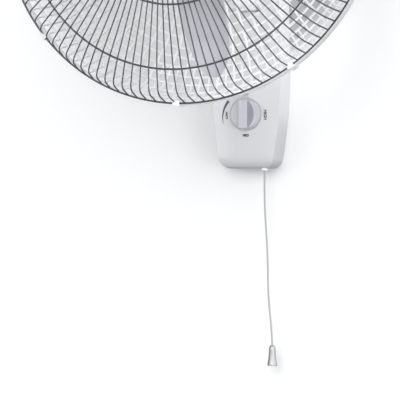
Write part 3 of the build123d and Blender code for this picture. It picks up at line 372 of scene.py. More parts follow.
# %% [markdown]
# ## Plastics
#
# Most of the fan is moulded plastic. A moulding is never one flat colour: the tint drifts by a percent or
# two, the gloss is broken by the spark texture of the mould, and sharp light still slides over it. A photo
# of plastic as a texture would repeat and stretch; noise at the true scale does neither. The same recipe
# serves the white shells, the lavender grey knob and the nut, with other colours and another gloss.

# %% Plastic finishes


def mould_texture(finish, roughness):
    """Gives a finish the uneven gloss and the fine spark texture of a mould."""
    gloss = roughness + (finish.noise(60.0) - 0.5) * 0.10
    finish.set(Roughness=gloss, Normal=finish.bump(finish.noise(2600.0, 1.0), 0.012 * mm))


def moulded(name, colour, roughness, drift=0.03):
    """Moulded plastic whose tint drifts slowly."""
    finish = Finish(name)
    darker = tuple(channel * (1 - drift) for channel in colour)
    lighter = tuple(min(1.0, channel * (1 + drift)) for channel in colour)
    finish.set(Base_Color=finish.blend(finish.noise(22.0, 3.0), darker, lighter))
    mould_texture(finish, roughness)
    return finish


shell_white = moulded("shell white", (0.585, 0.585, 0.60), 0.34)
guard_white = moulded("guard white", (0.82, 0.825, 0.84), 0.30, drift=0.01)
clip_white = moulded("clip white", (0.78, 0.785, 0.79), 0.30)
knob_lavender = moulded("knob lavender", (0.45, 0.445, 0.50), 0.36)
cap_lavender = moulded("cap lavender", (0.47, 0.465, 0.52), 0.26)
switch_black = moulded("switch black", (0.02, 0.02, 0.022), 0.45)
nylon = moulded("nylon", (0.66, 0.64, 0.57), 0.5)
case_dark = moulded("case dark", (0.03, 0.032, 0.042), 0.4)
acetal = moulded("acetal", (0.70, 0.70, 0.67), 0.42)
soft_white = moulded("soft white", (0.88, 0.88, 0.88), 0.5)
shell_white.set(Coat_Weight=0.6, Coat_Roughness=0.08)
for finish in (guard_white, clip_white):
    finish.set(Coat_Weight=0.12, Coat_Roughness=0.22)
print("plastics ready")

# %% [markdown]
# ## Clear blades
#
# The blades are smoke coloured and let some light through, so the pale ribs behind them glimmer. Glass would
# do it too, but Transmission doesn't carry over into a glTF model. Alpha does, so a share of the surface is
# left open with that. Thin flow lines of the moulding run round the hub: sine waves in the distance from the
# fan axis, bent by noise.

# %% Blade finish
flow_waves = 900.0
flow_bend = 9.0
smoke = Finish("smoke")
across_axis = smoke.axis("X")
up_axis = smoke.axis("Z") - axis_z
reach = (across_axis * across_axis + up_axis * up_axis) ** 0.5
flow = (reach * flow_waves + smoke.noise(30.0) * flow_bend).wave() * 0.5 + 0.5
cloud = smoke.noise(18.0, 3.0)
smoke.set(
    Base_Color=smoke.blend(cloud, (0.53, 0.525, 0.575), (0.61, 0.605, 0.655)),
    Roughness=0.20 + flow * 0.05,
    Alpha=0.84 + cloud * 0.08,
    Normal=smoke.bump(flow, 0.01 * mm),
)
print("blade finish, a flow line each", round(2 * math.pi / flow_waves, 4), "m")

# %% [markdown]
# ## Metals
#
# Drawn wire, zinc on steel, cast alloy and copper each show how they were made: fine lines along the drawing
# direction, a faint crystal bloom, sand grain, and strands. One recipe takes the pattern as a function, so
# each metal says only what is its own. Lines are noise that is stretched far along one axis.

# %% Metal finishes


def metal(name, colour, roughness, depth, pattern, tint=0.08):
    """Bare or plated metal; pattern gives its grain from 0 to 1."""
    finish = Finish(name)
    grain = pattern(finish)
    dull = tuple(channel * (1 - tint) for channel in colour)
    bright = tuple(min(1.0, channel * (1 + tint)) for channel in colour)
    finish.set(
        Base_Color=finish.blend(grain, dull, bright),
        Metallic=1.0,
        Roughness=roughness + (grain - 0.5) * 0.12,
        Normal=finish.bump(grain, depth),
    )
    return finish


def grains(*pattern):
    """A noise pattern that a finish makes when it is asked to."""
    return lambda finish: finish.noise(*pattern)


def sheets(finish):
    """Edges of stacked sheets, half a millimetre each, along the fan axis."""
    sheet = 0.5 * mm
    return (finish.axis("Y") * (2 * math.pi / sheet)).wave() * 0.5 + 0.5


def strands(finish):
    """Wound wire: waves round the axis and along it, broken by noise."""
    turns = finish.axis("X") * 5200.0 + finish.axis("Z") * 3100.0
    return (turns + finish.noise(160.0) * 7.0).wave() * 0.5 + 0.5


guard_wire = metal("guard wire", (0.11, 0.113, 0.12), 0.28, 0.006 * mm, grains(900.0))
zinc = metal("zinc", (0.60, 0.61, 0.62), 0.36, 0.008 * mm, lambda finish: finish.cells(700.0))
ground_steel = metal("ground steel", (0.52, 0.52, 0.53), 0.22, 0.004 * mm, grains(500.0, 2.0, (1, 12, 12)))
cast_alloy = metal("cast alloy", (0.56, 0.57, 0.58), 0.5, 0.04 * mm, grains(1500.0, 3.0))
bronze = metal("bronze", (0.52, 0.34, 0.16), 0.42, 0.01 * mm, grains(2200.0))
drawn_can = metal("drawn can", (0.60, 0.60, 0.58), 0.32, 0.006 * mm, grains(400.0, 2.0, (1, 1, 14)))
bell_metal = metal("bell metal", (0.46, 0.455, 0.46), 0.46, 0.006 * mm, grains(500.0, 2.0, (3, 3, 30)))
lamination = metal("lamination", (0.24, 0.25, 0.27), 0.44, 0.06 * mm, sheets, 0.3)
copper = metal("copper", (0.50, 0.19, 0.07), 0.34, 0.2 * mm, strands, 0.25)
print("metals ready")

# %% [markdown]
# ## Paint
#
# The neck arm and the block on it are castings with a coat of white paint. Sprayed paint levels out but
# never quite: it keeps an orange peel, a soft noise of about two millimetres, under a clear top coat.

# %% Paint finish
painted = Finish("painted")
peel = painted.noise(420.0, 2.0)
painted.set(
    Base_Color=painted.blend(painted.noise(20.0), (0.77, 0.775, 0.78), (0.82, 0.825, 0.83)),
    Roughness=0.30 + (peel - 0.5) * 0.10,
    Normal=painted.bump(peel, 0.03 * mm),
    Coat_Weight=0.3,
    Coat_Roughness=0.12,
)
print("paint ready")

# %% [markdown]
# ## Dressing the solids
#
# Each solid gets its finish by name. The solids that get a finer piece later are dressed too, so that they
# look right if that piece is left out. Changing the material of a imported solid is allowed; moving it isn't.

# %% Finishes on the solids
dressing = {
    shell_white: ("rear_shell", "front_shell", "motor_cover"),
    guard_white: ("rear_guard", "guard_nut"),
    clip_white: ("guard_clips",),
    knob_lavender: ("speed_knob", "tilt_nut", "blade_nut"),
    cap_lavender: ("front_badge",),
    smoke: ("fan_blade",),
    guard_wire: ("front_guard", "guard_rings"),
    zinc: (
        "wall_plate",
        "shell_screws",
        "lock_screw",
        "switch_nut",
        "arm_screws",
        "tilt_bolt",
        "swing_lever",
        "motor_bolts",
        "cover_screws",
    ),
    ground_steel: ("swing_pin", "swing_clip", "motor_shaft", "drive_pin", "switch_spindle"),
    cast_alloy: ("motor_front_bracket", "motor_rear_bracket"),
    bronze: ("swing_bush", "motor_bushes"),
    drawn_can: ("swing_motor",),
    bell_metal: ("cord_pull",),
    lamination: ("stator_core", "rotor_core"),
    copper: ("stator_windings",),
    painted: ("neck_arm", "neck_block"),
    switch_black: ("rotary_switch", "pull_switch", "pull_plunger"),
    nylon: ("terminal_block",),
    case_dark: ("run_capacitor",),
    acetal: ("swing_crank", "swing_link"),
    soft_white: ("cord_grommet", "pull_cord"),
}
for finish, names in dressing.items():
    for name in names:
        for material_slot in nodes[name].material_slots:
            material_slot.material = finish.material
print("dressed", sum(len(names) for names in dressing.values()), "solids")

# %% [markdown]
# ## The pull cord
#
# A cord is a curve before it is a mesh. It leaves the switch inside the body, passes the grommet and hangs,
# a little kinked from its package, down to the bell. Its route is the one that the solid follows; a smooth
# spline runs near those points, where a chain of straight runs would look like bent wire.

# %% Cord
cord_exit = Vector((19.6, -25.0, -177.0)) * mm
cord_r = 1.1 * mm
cord_above = 15.7 * mm
# How far to the right of the exit the cord hangs at each drop below it, in millimetres.
cord_route = (
    (0.0, 20.0),
    (0.3, 44.0),
    (1.6, 68.0),
    (3.4, 93.0),
    (4.2, 118.0),
    (4.5, 145.0),
    (6.4, 168.0),
    (8.9, 192.0),
    (9.8, 210.0),
)
cord_points = [cord_exit + Vector((0, 0, cord_above))]
cord_points += [cord_exit + Vector((side, 0, -drop)) * mm for side, drop in cord_route]

clear_selection()
cord_curve = bpy.data.curves.new("pull_cord_line", "CURVE")
cord_curve.dimensions = "3D"
cord_line = cord_curve.splines.new("NURBS")
cord_line.points.add(len(cord_points) - 1)
for point, place in zip(cord_line.points, cord_points):
    point.co = (*place, 1)
cord_line.order_u = 3
cord_line.use_endpoint_u = True
cord_line.resolution_u = 8
cord_curve.bevel_depth = cord_r
cord_curve.bevel_resolution = 3
cord_curve.use_fill_caps = True
cord = bpy.data.objects.new("cord_line", cord_curve)
bpy.context.collection.objects.link(cord)
print("cord points", len(cord_points))

# %% [markdown]
# ## The braid
#
# The cord is a braid of thin threads. Modelled threads would be thousands of faces that no one sees from a
# step away. Two sets of waves that cross, one for each way round, give the same look as a bump. They are
# drawn on the cord's own coordinates, which follow every bend.

# %% Braid
braid_waves = 900.0
threads_round = 8 * math.pi
braid = Finish("braid")
thread = braid.add("ShaderNodeTexCoord", {}, {}, "UV")
along = braid.add("ShaderNodeSeparateXYZ", {}, {0: thread}, "X") * braid_waves
around = braid.add("ShaderNodeSeparateXYZ", {}, {0: thread}, "Y") * threads_round
left_lay = (along + around).wave()
right_lay = (along - around).wave()
weave = left_lay * right_lay * 0.5 + 0.5
braid.set(
    Base_Color=braid.blend(weave, (0.34, 0.34, 0.35), (0.50, 0.50, 0.51)),
    Roughness=0.75,
    Normal=braid.bump(weave, 0.12 * mm),
)
cord_curve.materials.append(braid.material)
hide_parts("pull_cord")
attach(cord, "pull")
print("braid ready")

# %% [markdown]
# ## Turned pieces
#
# The bell at the cord's end, the centre cap, the knob, the hub and the guard's rim band are all bodies of
# revolution. A stack of cylinders and cones would leave inner faces. A potter's way gives one clean skin: a
# point walks along half the outline, and the spin tool turns that line round the axis. A bevel by angle then
# breaks the sharp edges, and smoothing by angle keeps the rest soft.

# %% The lathe


def start_point(name, place):
    """A mesh of a single point, in edit mode."""
    clear_selection()
    bpy.ops.mesh.primitive_plane_add(size=0.001, location=place)
    piece = bpy.context.object
    piece.name = name
    bpy.ops.object.transform_apply(location=True, rotation=True, scale=True)
    bpy.ops.object.mode_set(mode="EDIT")
    bpy.ops.mesh.select_all(action="SELECT")
    bpy.ops.mesh.merge(type="CENTER")
    return piece


def walk(points):
    """Draws a line of edges from the selected point."""
    for before, here in zip(points, points[1:]):
        bpy.ops.mesh.extrude_vertices_move(TRANSFORM_OT_translate={"value": Vector(here) - Vector(before)})


def face_outwards():
    """Turns the faces of the piece in edit mode outwards and goes back to object mode."""
    bpy.ops.mesh.select_all(action="SELECT")
    bpy.ops.mesh.normals_make_consistent(inside=False)
    bpy.ops.object.mode_set(mode="OBJECT")


def lathe(name, outline, centre, axis, steps):
    """Turns an outline round an axis. The outline starts and ends where it should close."""
    piece = start_point(name, outline[0])
    walk(outline)
    bpy.ops.mesh.select_all(action="SELECT")
    bpy.ops.mesh.spin(steps=steps, angle=2 * math.pi, center=centre, axis=axis)
    bpy.ops.mesh.select_all(action="SELECT")
    bpy.ops.mesh.remove_doubles(threshold=0.00001)
    face_outwards()
    return piece


# %% [markdown]
# ## Edges, finish and place
#
# Every new piece ends the same way: its edges are softened, it gets its finish, and it is told which solids
# it stands for and which body carries it. Two helpers do that, so that no piece can miss a step.

# %% Softening and dressing


def work_on(piece):
    """Makes a piece the only one selected, and the active one."""
    clear_selection()
    piece.select_set(True)
    bpy.context.view_layer.objects.active = piece


def soften(piece, width=0, segments=2, angle=35.0):
    """Bevels the sharp edges, if a width is given, and smooths the rest."""
    work_on(piece)
    if width:
        bevel = piece.modifiers.new("edges", "BEVEL")
        bevel.width = width
        bevel.segments = segments
        bevel.limit_method = "ANGLE"
        bevel.angle_limit = math.radians(angle)
        bpy.ops.object.modifier_apply(modifier=bevel.name)
    bpy.ops.object.shade_smooth_by_angle(angle=math.radians(angle))


def dress(piece, finish, slot, body, *stands_for):
    """Gives a finished piece its material, hides the solids it stands for and attaches it to its body; slot
    is not used.
    """
    piece.data.materials.clear()
    piece.data.materials.append(finish.material)
    if stands_for:
        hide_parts(*stands_for)
    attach(piece, body)


# %% [markdown]
# ## The bell
#
# A small cast bell ends the cord and is what a hand pulls. It has a narrow neck, a long flare and a dished
# underside. The outline is written as shares of the bell's own size, so it fits whatever box the solid has.

# %% Bell pull
bell_low, bell_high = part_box("cord_pull")
bell_middle = (bell_low + bell_high) / 2
bell_r = (bell_high.x - bell_low.x) / 2
bell_length = bell_high.z - bell_low.z
# Shares of the radius and of the length, from the neck down and back under the rim.
bell_shape = (
    (0.0, 0.0),
    (0.34, 0.0),
    (0.44, 0.02),
    (0.56, 0.06),
    (0.63, 0.12),
    (0.66, 0.20),
    (0.68, 0.34),
    (0.73, 0.52),
    (0.82, 0.72),
    (0.94, 0.90),
    (1.0, 0.96),
    (1.0, 1.0),
    (0.86, 1.0),
    (0.80, 0.93),
    (0.0, 0.90),
)
bell_outline = [
    Vector((bell_middle.x + part * bell_r, bell_middle.y, bell_high.z - drop * bell_length))
    for part, drop in bell_shape
]
bell = lathe("bell_pull", bell_outline, bell_middle, (0, 0, 1), 40)
soften(bell, 0.25 * mm, 2, 40)
dress(bell, bell_metal, "pull_chrome", "pull", "cord_pull")
print("bell", len(bell.data.polygons), "faces")

# %% [markdown]
# ## Bars and rings
#
# Both guards are made of bars that repeat round the axis, and of rings. A bar is drawn as a line of edges,
# its corners are rounded by a bevel of the vertices, and the line becomes a round bar as a curve with
# thickness: that is how wire is bent, and it keeps the same thickness round every bend. The spin tool then
# repeats the bar. It has few faces, because it is there dozens of times.

# %% One bar, many bars


def bar(name, points, thickness, bend, bends=4):
    """A round bar through points; bend is how far a corner is rounded."""
    piece = start_point(name, points[0])
    walk(points)
    bpy.ops.mesh.select_all(action="DESELECT")
    bpy.ops.object.mode_set(mode="OBJECT")
    for corner in list(piece.data.vertices)[1:-1]:
        corner.select = True
    bpy.ops.object.mode_set(mode="EDIT")
    bpy.ops.mesh.bevel(affect="VERTICES", offset=bend, segments=bends, offset_type="OFFSET", profile=0.5)
    bpy.ops.object.mode_set(mode="OBJECT")
    bpy.ops.object.convert(target="CURVE")
    piece = bpy.context.object
    piece.data.bevel_depth = thickness / 2
    piece.data.bevel_resolution = 1
    piece.data.use_fill_caps = True
    bpy.ops.object.convert(target="MESH")
    return bpy.context.object


def repeat_round(piece, count):
    """Copies a piece round the fan axis, evenly, in one mesh."""
    work_on(piece)
    bpy.ops.object.mode_set(mode="EDIT")
    bpy.ops.mesh.select_all(action="SELECT")
    bpy.ops.mesh.spin(
        steps=count - 1,
        dupli=True,
        angle=2 * math.pi * (count - 1) / count,
        center=axis_point,
        axis=(0, 1, 0),
        use_auto_merge=False,
    )
    face_outwards()
    return piece


# %% Rings, and one piece of several


def ring(name, radius, rise, thickness, segments, sides=8):
    """A round ring about the fan axis; rise is how far it stands in front of the rim."""
    clear_selection()
    bpy.ops.mesh.primitive_torus_add(
        location=(0, rim_y - rise, axis_z),
        rotation=(math.pi / 2, 0, 0),
        major_radius=radius,
        minor_radius=thickness / 2,
        major_segments=segments,
        minor_segments=sides,
    )
    piece = bpy.context.object
    piece.name = name
    bpy.ops.object.transform_apply(location=True, rotation=True, scale=True)
    return piece


def join(name, *pieces):
    """Makes one object of several."""
    clear_selection()
    for piece in pieces:
        piece.select_set(True)
    bpy.context.view_layer.objects.active = pieces[0]
    bpy.ops.object.join()
    whole = bpy.context.object
    whole.name = name
    return whole


# %% [markdown]
# ## The wire guard
#
# The front guard is welded from steel wire. Each wire leaves the hub ring, runs out nearly flat, and turns
# sharply down the side to the rim ring. The wires don't point at the axis: all pass a little beside it,
# which gives the cage its swirl. So one wire is placed by three measures at each bend: its radius, how far
# it stands in front of the rim, and how far beside the axis it passes. Two thicker rings are welded behind.

# %% Front guard
wire_count = 120
wire_thickness = 1.6 * mm
ring_thickness = 2.1 * mm
rim_wire = 2.0 * mm
rim_rise = 1.6 * mm
hub_ring_r = 37 * mm
hub_ring_rise = 32.5 * mm
hub_ring_thickness = 3.9 * mm
inner_ring_r = rim_r / 2 + 4.5 * mm
inner_ring_rise = 30.5 * mm
middle_ring_r = rim_r - 36.5 * mm
middle_ring_rise = 25.5 * mm
shoulder_r = rim_r - 8.5 * mm
wire_bend = 6.5 * mm
wire_path = (
    (hub_ring_r, hub_ring_rise, 12.0 * mm),
    (inner_ring_r, inner_ring_rise, 12.0 * mm),
    (middle_ring_r, middle_ring_rise, 11.6 * mm),
    (shoulder_r, 21.0 * mm, 10.4 * mm),
    (rim_r - 1.8 * mm, 1.9 * mm, 9.6 * mm),
)
wire_points = [
    Vector((-beside, rim_y - rise, axis_z - math.sqrt(radius**2 - beside**2)))
    for radius, rise, beside in wire_path
]
wires = repeat_round(bar("guard_wires", wire_points, wire_thickness, wire_bend), wire_count)
rim = ring("rim", rim_r - rim_wire / 2, rim_rise, rim_wire, 240, 10)
hub_ring = ring("hub_ring", hub_ring_r, hub_ring_rise, hub_ring_thickness, 96, 10)
wire_guard = join("wire_guard", wires, rim, hub_ring)

behind = wire_thickness / 2 + ring_thickness / 2 + 0.2 * mm
middle_ring = ring("middle_ring", middle_ring_r, middle_ring_rise - behind, ring_thickness, 200)
inner_ring = ring("inner_ring", inner_ring_r, inner_ring_rise - behind, ring_thickness, 140)
welded_rings = join("welded_rings", middle_ring, inner_ring)
for piece, solid in ((wire_guard, "front_guard"), (welded_rings, "guard_rings")):
    soften(piece, angle=60)
    dress(piece, guard_wire, "guard_wire", "head", solid)
print("wire guard", len(wire_guard.data.polygons), "faces")

# %% [markdown]
# ## The moulded rear guard
#
# The rear guard is one plastic moulding: a plate that sits on the motor, ribs that dish out to the rim,
# rings across them that come closer together towards the edge, and a band round the rim. Near the edge a
# short rib stands in each gap between the long ones. It could be cut out of a turned dish with hundreds of
# booleans; bars squeezed a little flat are lighter and never fail, and the plate and the band are turned.
# The wall's soft patch is its shade, so the guard itself casts none: hundreds of ribs would draw hard bars.

# %% Ribs of the rear guard
plate_back = band_high.y - rim_y
plate_front = plate_back - 3.0 * mm
rib_count = 60
rib_path = (
    (58.0 * mm, -71.5 * mm),
    (rim_r - 70 * mm, -67.5 * mm),
    (rim_r - 16 * mm, -44.0 * mm),
    (rim_r - 2.8 * mm, -11.5 * mm),
)
short_rib_start = rim_r - 42 * mm


def rib_rise(radius):
    """How far behind the rim the ribs run at a radius, as a negative rise."""
    for (near_r, near), (far_r, far) in zip(rib_path, rib_path[1:]):
        if radius <= far_r:
            return near + (far - near) * (radius - near_r) / (far_r - near_r)
    return rib_path[-1][1]


def rib(name, path, thickness, flatness):
    """A rib straight down from the axis, narrower across than deep."""
    points = [Vector((0, rim_y - rise, axis_z - radius)) for radius, rise in path]
    piece = bar(name, points, thickness, 12 * mm, 3)
    bpy.ops.object.mode_set(mode="EDIT")
    bpy.ops.mesh.select_all(action="SELECT")
    bpy.ops.transform.resize(value=(flatness, 1, 1), center_override=axis_point)
    bpy.ops.object.mode_set(mode="OBJECT")
    return piece


long_ribs = repeat_round(rib("long_ribs", rib_path, 3.6 * mm, 0.70), rib_count)
short_path = ((short_rib_start, rib_rise(short_rib_start)), *rib_path[2:])
short_rib = rib("short_ribs", short_path, 3.0 * mm, 0.66)
bpy.ops.object.mode_set(mode="EDIT")
bpy.ops.mesh.select_all(action="SELECT")
bpy.ops.transform.rotate(value=math.pi / rib_count, orient_axis="Y", center_override=axis_point)
bpy.ops.object.mode_set(mode="OBJECT")
short_ribs = repeat_round(short_rib, rib_count)
print("ribs", 2 * rib_count)

# %% Rings, band and plate of the rear guard
rear_ring_radii = (72, 84, 96, 108, 120, 132, 144, 156, 167, 178, 188, 197, 206, 213)
rear_ring_width = 2.8 * mm
rear_ring_stretch = 1.4
band_wall = 2.4 * mm
band_depth = 13.0 * mm
plate_r = 62.0 * mm
collar_r = 23.9 * mm


def rear_ring(radius):
    """A ring of the rear guard, deeper along the axis than it is wide."""
    rise = rib_rise(radius)
    piece = ring(f"rear_ring_{round(radius / mm)}", radius, rise, rear_ring_width, 160)
    bpy.ops.object.mode_set(mode="EDIT")
    bpy.ops.mesh.select_all(action="SELECT")
    bpy.ops.transform.resize(value=(1, rear_ring_stretch, 1), center_override=(0, rim_y - rise, axis_z))
    bpy.ops.object.mode_set(mode="OBJECT")
    return piece


def turned_ring(name, shape, steps, edge):
    """A ring turned from an outline of (radius, rise) pairs, with softened edges."""
    outline = [Vector((radius, rim_y - rise, axis_z)) for radius, rise in shape]
    piece = lathe(name, outline + outline[:1], axis_point, (0, 1, 0), steps)
    soften(piece, edge)
    return piece


rear_rings = [rear_ring(radius * mm) for radius in rear_ring_radii]
band_shape = (
    (rim_r - band_wall, 0),
    (rim_r, 0),
    (rim_r, -band_depth),
    (rim_r - band_wall, -band_depth),
)
plate_shape = (
    (collar_r, -plate_front),
    (plate_r - 2 * mm, -plate_front),
    (plate_r, -plate_front - 1 * mm),
    (plate_r, -plate_back),
    (collar_r, -plate_back),
)
band = turned_ring("rim_band", band_shape, 240, 0.6 * mm)
plate = turned_ring("motor_plate", plate_shape, 96, 0.4 * mm)
moulded_guard = join("moulded_guard", band, plate, long_ribs, short_ribs, *rear_rings)
soften(moulded_guard, angle=50)
dress(moulded_guard, guard_white, "white_guard", "head", "rear_guard")
moulded_guard.visible_shadow = False
print("rear guard", len(moulded_guard.data.polygons), "faces")

# %% [markdown]
# ## Clips
#
# Eight snap clips hold the two guards together. Each is a small bracket, U-shaped in section, that grips the
# rim ring and the band. Cutting a block hollow would need a boolean for each. Here the section is drawn with
# the walk of edges, filled, extruded to its width, and the finished clip is turned to its place on the rim.

# %% Guard clips
clip_angles = (-34.0, 2.0, 50.0, 95.0, 140.0, 185.0, 230.0, 278.0)
clip_width = 8.0 * mm
clip_rear_rise = -14.65 * mm
clip_front_rise = 4.75 * mm
clip_outer_r = rim_r + 1.65 * mm
clip_inner_r = rim_r + 0.15 * mm
clip_lip_r = rim_r - 3.2 * mm
clip_wall = 1.5 * mm
clip_section = (
    (clip_lip_r, clip_rear_rise),
    (clip_outer_r, clip_rear_rise),
    (clip_outer_r, clip_front_rise),
    (clip_lip_r, clip_front_rise),
    (clip_lip_r, clip_front_rise - clip_wall),
    (clip_inner_r, clip_front_rise - clip_wall),
    (clip_inner_r, clip_rear_rise + clip_wall),
    (clip_lip_r, clip_rear_rise + clip_wall),
)


def extrude_outline(name, outline, depth):
    """Walks round an outline, fills it and draws it along a vector."""
    piece = start_point(name, outline[0])
    walk(outline)
    bpy.ops.mesh.select_all(action="SELECT")
    bpy.ops.mesh.edge_face_add()
    bpy.ops.mesh.extrude_region_move(TRANSFORM_OT_translate={"value": depth})
    return piece


def clip_at(angle):
    """One clip, turned to its place on the rim."""
    corners = [Vector((-clip_width / 2, rim_y - rise, axis_z - radius)) for radius, rise in clip_section]
    piece = extrude_outline(f"clip_{round(angle)}", corners, (clip_width, 0, 0))
    face_outwards()
    soften(piece, 0.5 * mm)
    piece.data.transform(
        Matrix.Translation(axis_point)
        @ Matrix.Rotation(math.radians(angle), 4, "Y")
        @ Matrix.Translation(-axis_point)
    )
    return piece


clips = join("guard_snap_clips", *[clip_at(angle) for angle in clip_angles])
soften(clips, angle=40)
dress(clips, clip_white, "clip_plastic", "head", "guard_clips")
print("clips", len(clips.data.polygons), "faces")

# %% [markdown]
# ## The knob
#
# The knob is one moulding: a thin skirt against the dial, a drum that narrows a little for draft, and two
# deep thumb scoops that leave a bar across the middle to grip. The round form comes from the lathe. The
# scoops are egg-shaped, so each is cut by a boolean with a ball that is stretched to an egg and bisected
# flat beside the bar. A bevel goes over the edges last. The cuts leave some very short edges, and the bevel
# is held back by them, so the edges come out nearly crisp.

# %% Knob
knob_back = knob_high.y
knob_front = knob_low.y
knob_middle = Vector((0, knob_back, knob_z))
knob_skirt_r = 18.6 * mm
knob_drum_r = 17.4 * mm
knob_shape = (
    (0.0, 0.0),
    (knob_skirt_r, 0.0),
    (knob_skirt_r, 1.7 * mm),
    (knob_skirt_r - 0.5 * mm, 2.3 * mm),
    (knob_drum_r + 0.2 * mm, 2.6 * mm),
    (knob_drum_r, 2.9 * mm),
    (knob_drum_r - 0.7 * mm, knob_back - knob_front),
    (0.0, knob_back - knob_front),
)
knob_outline = [Vector((radius, knob_back - height, knob_z)) for radius, height in knob_shape]
knob = lathe("dial_knob", knob_outline, knob_middle, (0, 1, 0), 72)
print("knob drum", round(knob_drum_r, 4), "skirt", round(knob_skirt_r, 4))

# %% Thumb scoops and pointer mark
scoop_x = 13.0 * mm
scoop_size = (9.6 * mm, 5.4 * mm, 23.0 * mm)
bar_half = 5.4 * mm
mark_size = (1.2 * mm, 0.9 * mm, 5.0 * mm)
mark_up = 12.6 * mm
knob_edge = 0.45 * mm


def cut_away(piece, cutter):
    """Takes a closed cutter out of a piece and deletes the cutter."""
    work_on(piece)
    cut = piece.modifiers.new("cut", "BOOLEAN")
    cut.operation = "DIFFERENCE"
    cut.solver = "EXACT"
    cut.object = cutter
    bpy.ops.object.modifier_apply(modifier=cut.name)
    bpy.data.objects.remove(cutter)


def cut_box(piece, place, size):
    """Cuts a square opening of a size, centred on a place."""
    clear_selection()
    bpy.ops.mesh.primitive_cube_add(size=1, location=place)
    cutter = bpy.context.object
    cutter.scale = size
    bpy.ops.object.transform_apply(location=True, rotation=True, scale=True)
    cut_away(piece, cutter)


for side in (-1, 1):
    clear_selection()
    scoop_place = (side * scoop_x, knob_front, knob_z)
    bpy.ops.mesh.primitive_uv_sphere_add(segments=56, ring_count=28, radius=1, location=scoop_place)
    scoop = bpy.context.object
    scoop.scale = scoop_size
    bpy.ops.object.transform_apply(location=True, rotation=True, scale=True)
    bpy.ops.object.mode_set(mode="EDIT")
    bpy.ops.mesh.select_all(action="SELECT")
    bar_side = (side * bar_half, knob_front, knob_z)
    bpy.ops.mesh.bisect(plane_co=bar_side, plane_no=(-side, 0, 0), use_fill=True, clear_outer=True)
    bpy.ops.object.mode_set(mode="OBJECT")
    cut_away(knob, scoop)

cut_box(knob, (0, knob_front, knob_z + mark_up), mark_size)
soften(knob, knob_edge, segments=3, angle=32)
print("knob", len(knob.data.polygons), "faces")

# %% [markdown]
# ## Painted shade in the knob
#
# The knob is one lavender grey, but the deep part of its right scoop looks darker, as the scoop's far wall
# hides it from the light. The soft lamps of the stage fill it in, so that shade is painted into the finish: a
# darker tint shaped as a crescent, which lies in that scoop only and fades out towards the drum's edge.

# %% Knob finish with painted shade
crescent_inner_r = 10.8 * mm
crescent_outer_r = 12.4 * mm
crescent_squeeze = 0.63
painted_shade_lavender = Finish("lavender with painted shade")
mould_texture(painted_shade_lavender, 0.36)
across_bar = painted_shade_lavender.axis("X")
along_bar = (painted_shade_lavender.axis("Z") - knob_z) * crescent_squeeze
from_hub = (across_bar * across_bar + along_bar * along_bar) ** 0.5
below_face = painted_shade_lavender.axis("Y").over(knob_front + 0.5 * mm)
right_of_bar = across_bar.over(bar_half - 0.3 * mm)
crescent = painted_shade_lavender.fade(from_hub, crescent_inner_r, crescent_outer_r, 1.0, 0.0)
deep = below_face * right_of_bar * crescent
# Painted shade: a darker tint in a crescent in the deep right scoop, where the scoop wall would shade it.
painted_shade_lavender.set(Base_Color=painted_shade_lavender.blend(deep, (0.49, 0.485, 0.535), (0.24, 0.235, 0.27)))
dress(knob, painted_shade_lavender, "knob_plastic", "knob", "speed_knob")
print("knob dressed")

# %% [markdown]
# ## Print on the dial
#
# The speeds are printed round the knob: plain words for off, low, medium and high, and a wedge that swells
# towards high. Print could be a pattern in the shell's finish, but letters need crisp edges. So each word is
# made a mesh at the origin first, and only then turned and laid on the face, a hair proud of the plastic so
# that the two surfaces don't fight.

# %% Words on the dial


def printed(name, dark, light):
    """Ink with a fine fleck."""
    finish = Finish(name)
    fleck = finish.noise(3000.0)
    finish.set(Base_Color=finish.blend(fleck, dark, light), Roughness=0.5 + fleck * 0.1)
    return finish


ink = printed("ink", (0.03, 0.03, 0.035), (0.06, 0.06, 0.07))
pale_ink = printed("pale ink", (0.26, 0.26, 0.28), (0.34, 0.34, 0.36))
dial_middle = Vector((0, shell_front, knob_z - 1.0 * mm))
print_rise = 0.05 * mm
label_r = 24.2 * mm
stroke_gain = 0.26 * mm


def label(words, height, direction, turn):
    """A printed word on the dial, centred on the label circle; direction and turn in degrees."""
    clear_selection()
    bpy.ops.object.text_add(location=(0, 0, 0))
    piece = bpy.context.object
    piece.name = f"label_{words.lower()}"
    piece.data.body = words
    piece.data.size = height
    piece.data.align_x = "CENTER"
    piece.data.align_y = "CENTER"
    piece.data.extrude = print_rise
    piece.data.offset = stroke_gain
    piece.data.resolution_u = 3
    bpy.ops.object.convert(target="MESH")
    piece = bpy.context.object
    outwards = Vector((math.cos(math.radians(direction)), 0, math.sin(math.radians(direction))))
    piece.data.transform(
        Matrix.Translation(dial_middle + label_r * outwards)
        @ Matrix.Rotation(math.radians(-turn), 4, "Y")
        @ Matrix.Rotation(math.pi / 2, 4, "X")
    )
    return piece


labels = [
    (label("OFF", 3.6 * mm, 90, 0), pale_ink),
    (label("HIGH", 4.9 * mm, 0, -90), ink),
    (label("MED", 3.9 * mm, -90, 0), ink),
    (label("LOW", 3.6 * mm, 180, 90), ink),
]
for piece, finish in labels:
    dress(piece, finish, "switch_plastic", "wall_body")
print("print", len(labels), "words")

# %% Speed wedge
wedge_start = 142.0
wedge_end = 200.0
wedge_steps = 14
wedge_inner = []
wedge_outer = []
for step in range(wedge_steps + 1):
    share = step / wedge_steps
    turn = math.radians(wedge_start + (wedge_end - wedge_start) * share)
    middle_r = (27.6 + 2.6 * share) * mm
    half = (1.45 * (1 - share) ** 0.8 + 0.15) * mm
    direction = Vector((math.cos(turn), 0, math.sin(turn)))
    wedge_inner.append(dial_middle + direction * (middle_r - half))
    wedge_outer.append(dial_middle + direction * (middle_r + half))
wedge = extrude_outline("speed_wedge", wedge_inner + wedge_outer[::-1], (0, -print_rise, 0))
face_outwards()
dress(wedge, ink, "switch_plastic", "wall_body")
print("wedge", round((wedge_inner[0] - wedge_inner[-1]).length, 4), "m long")

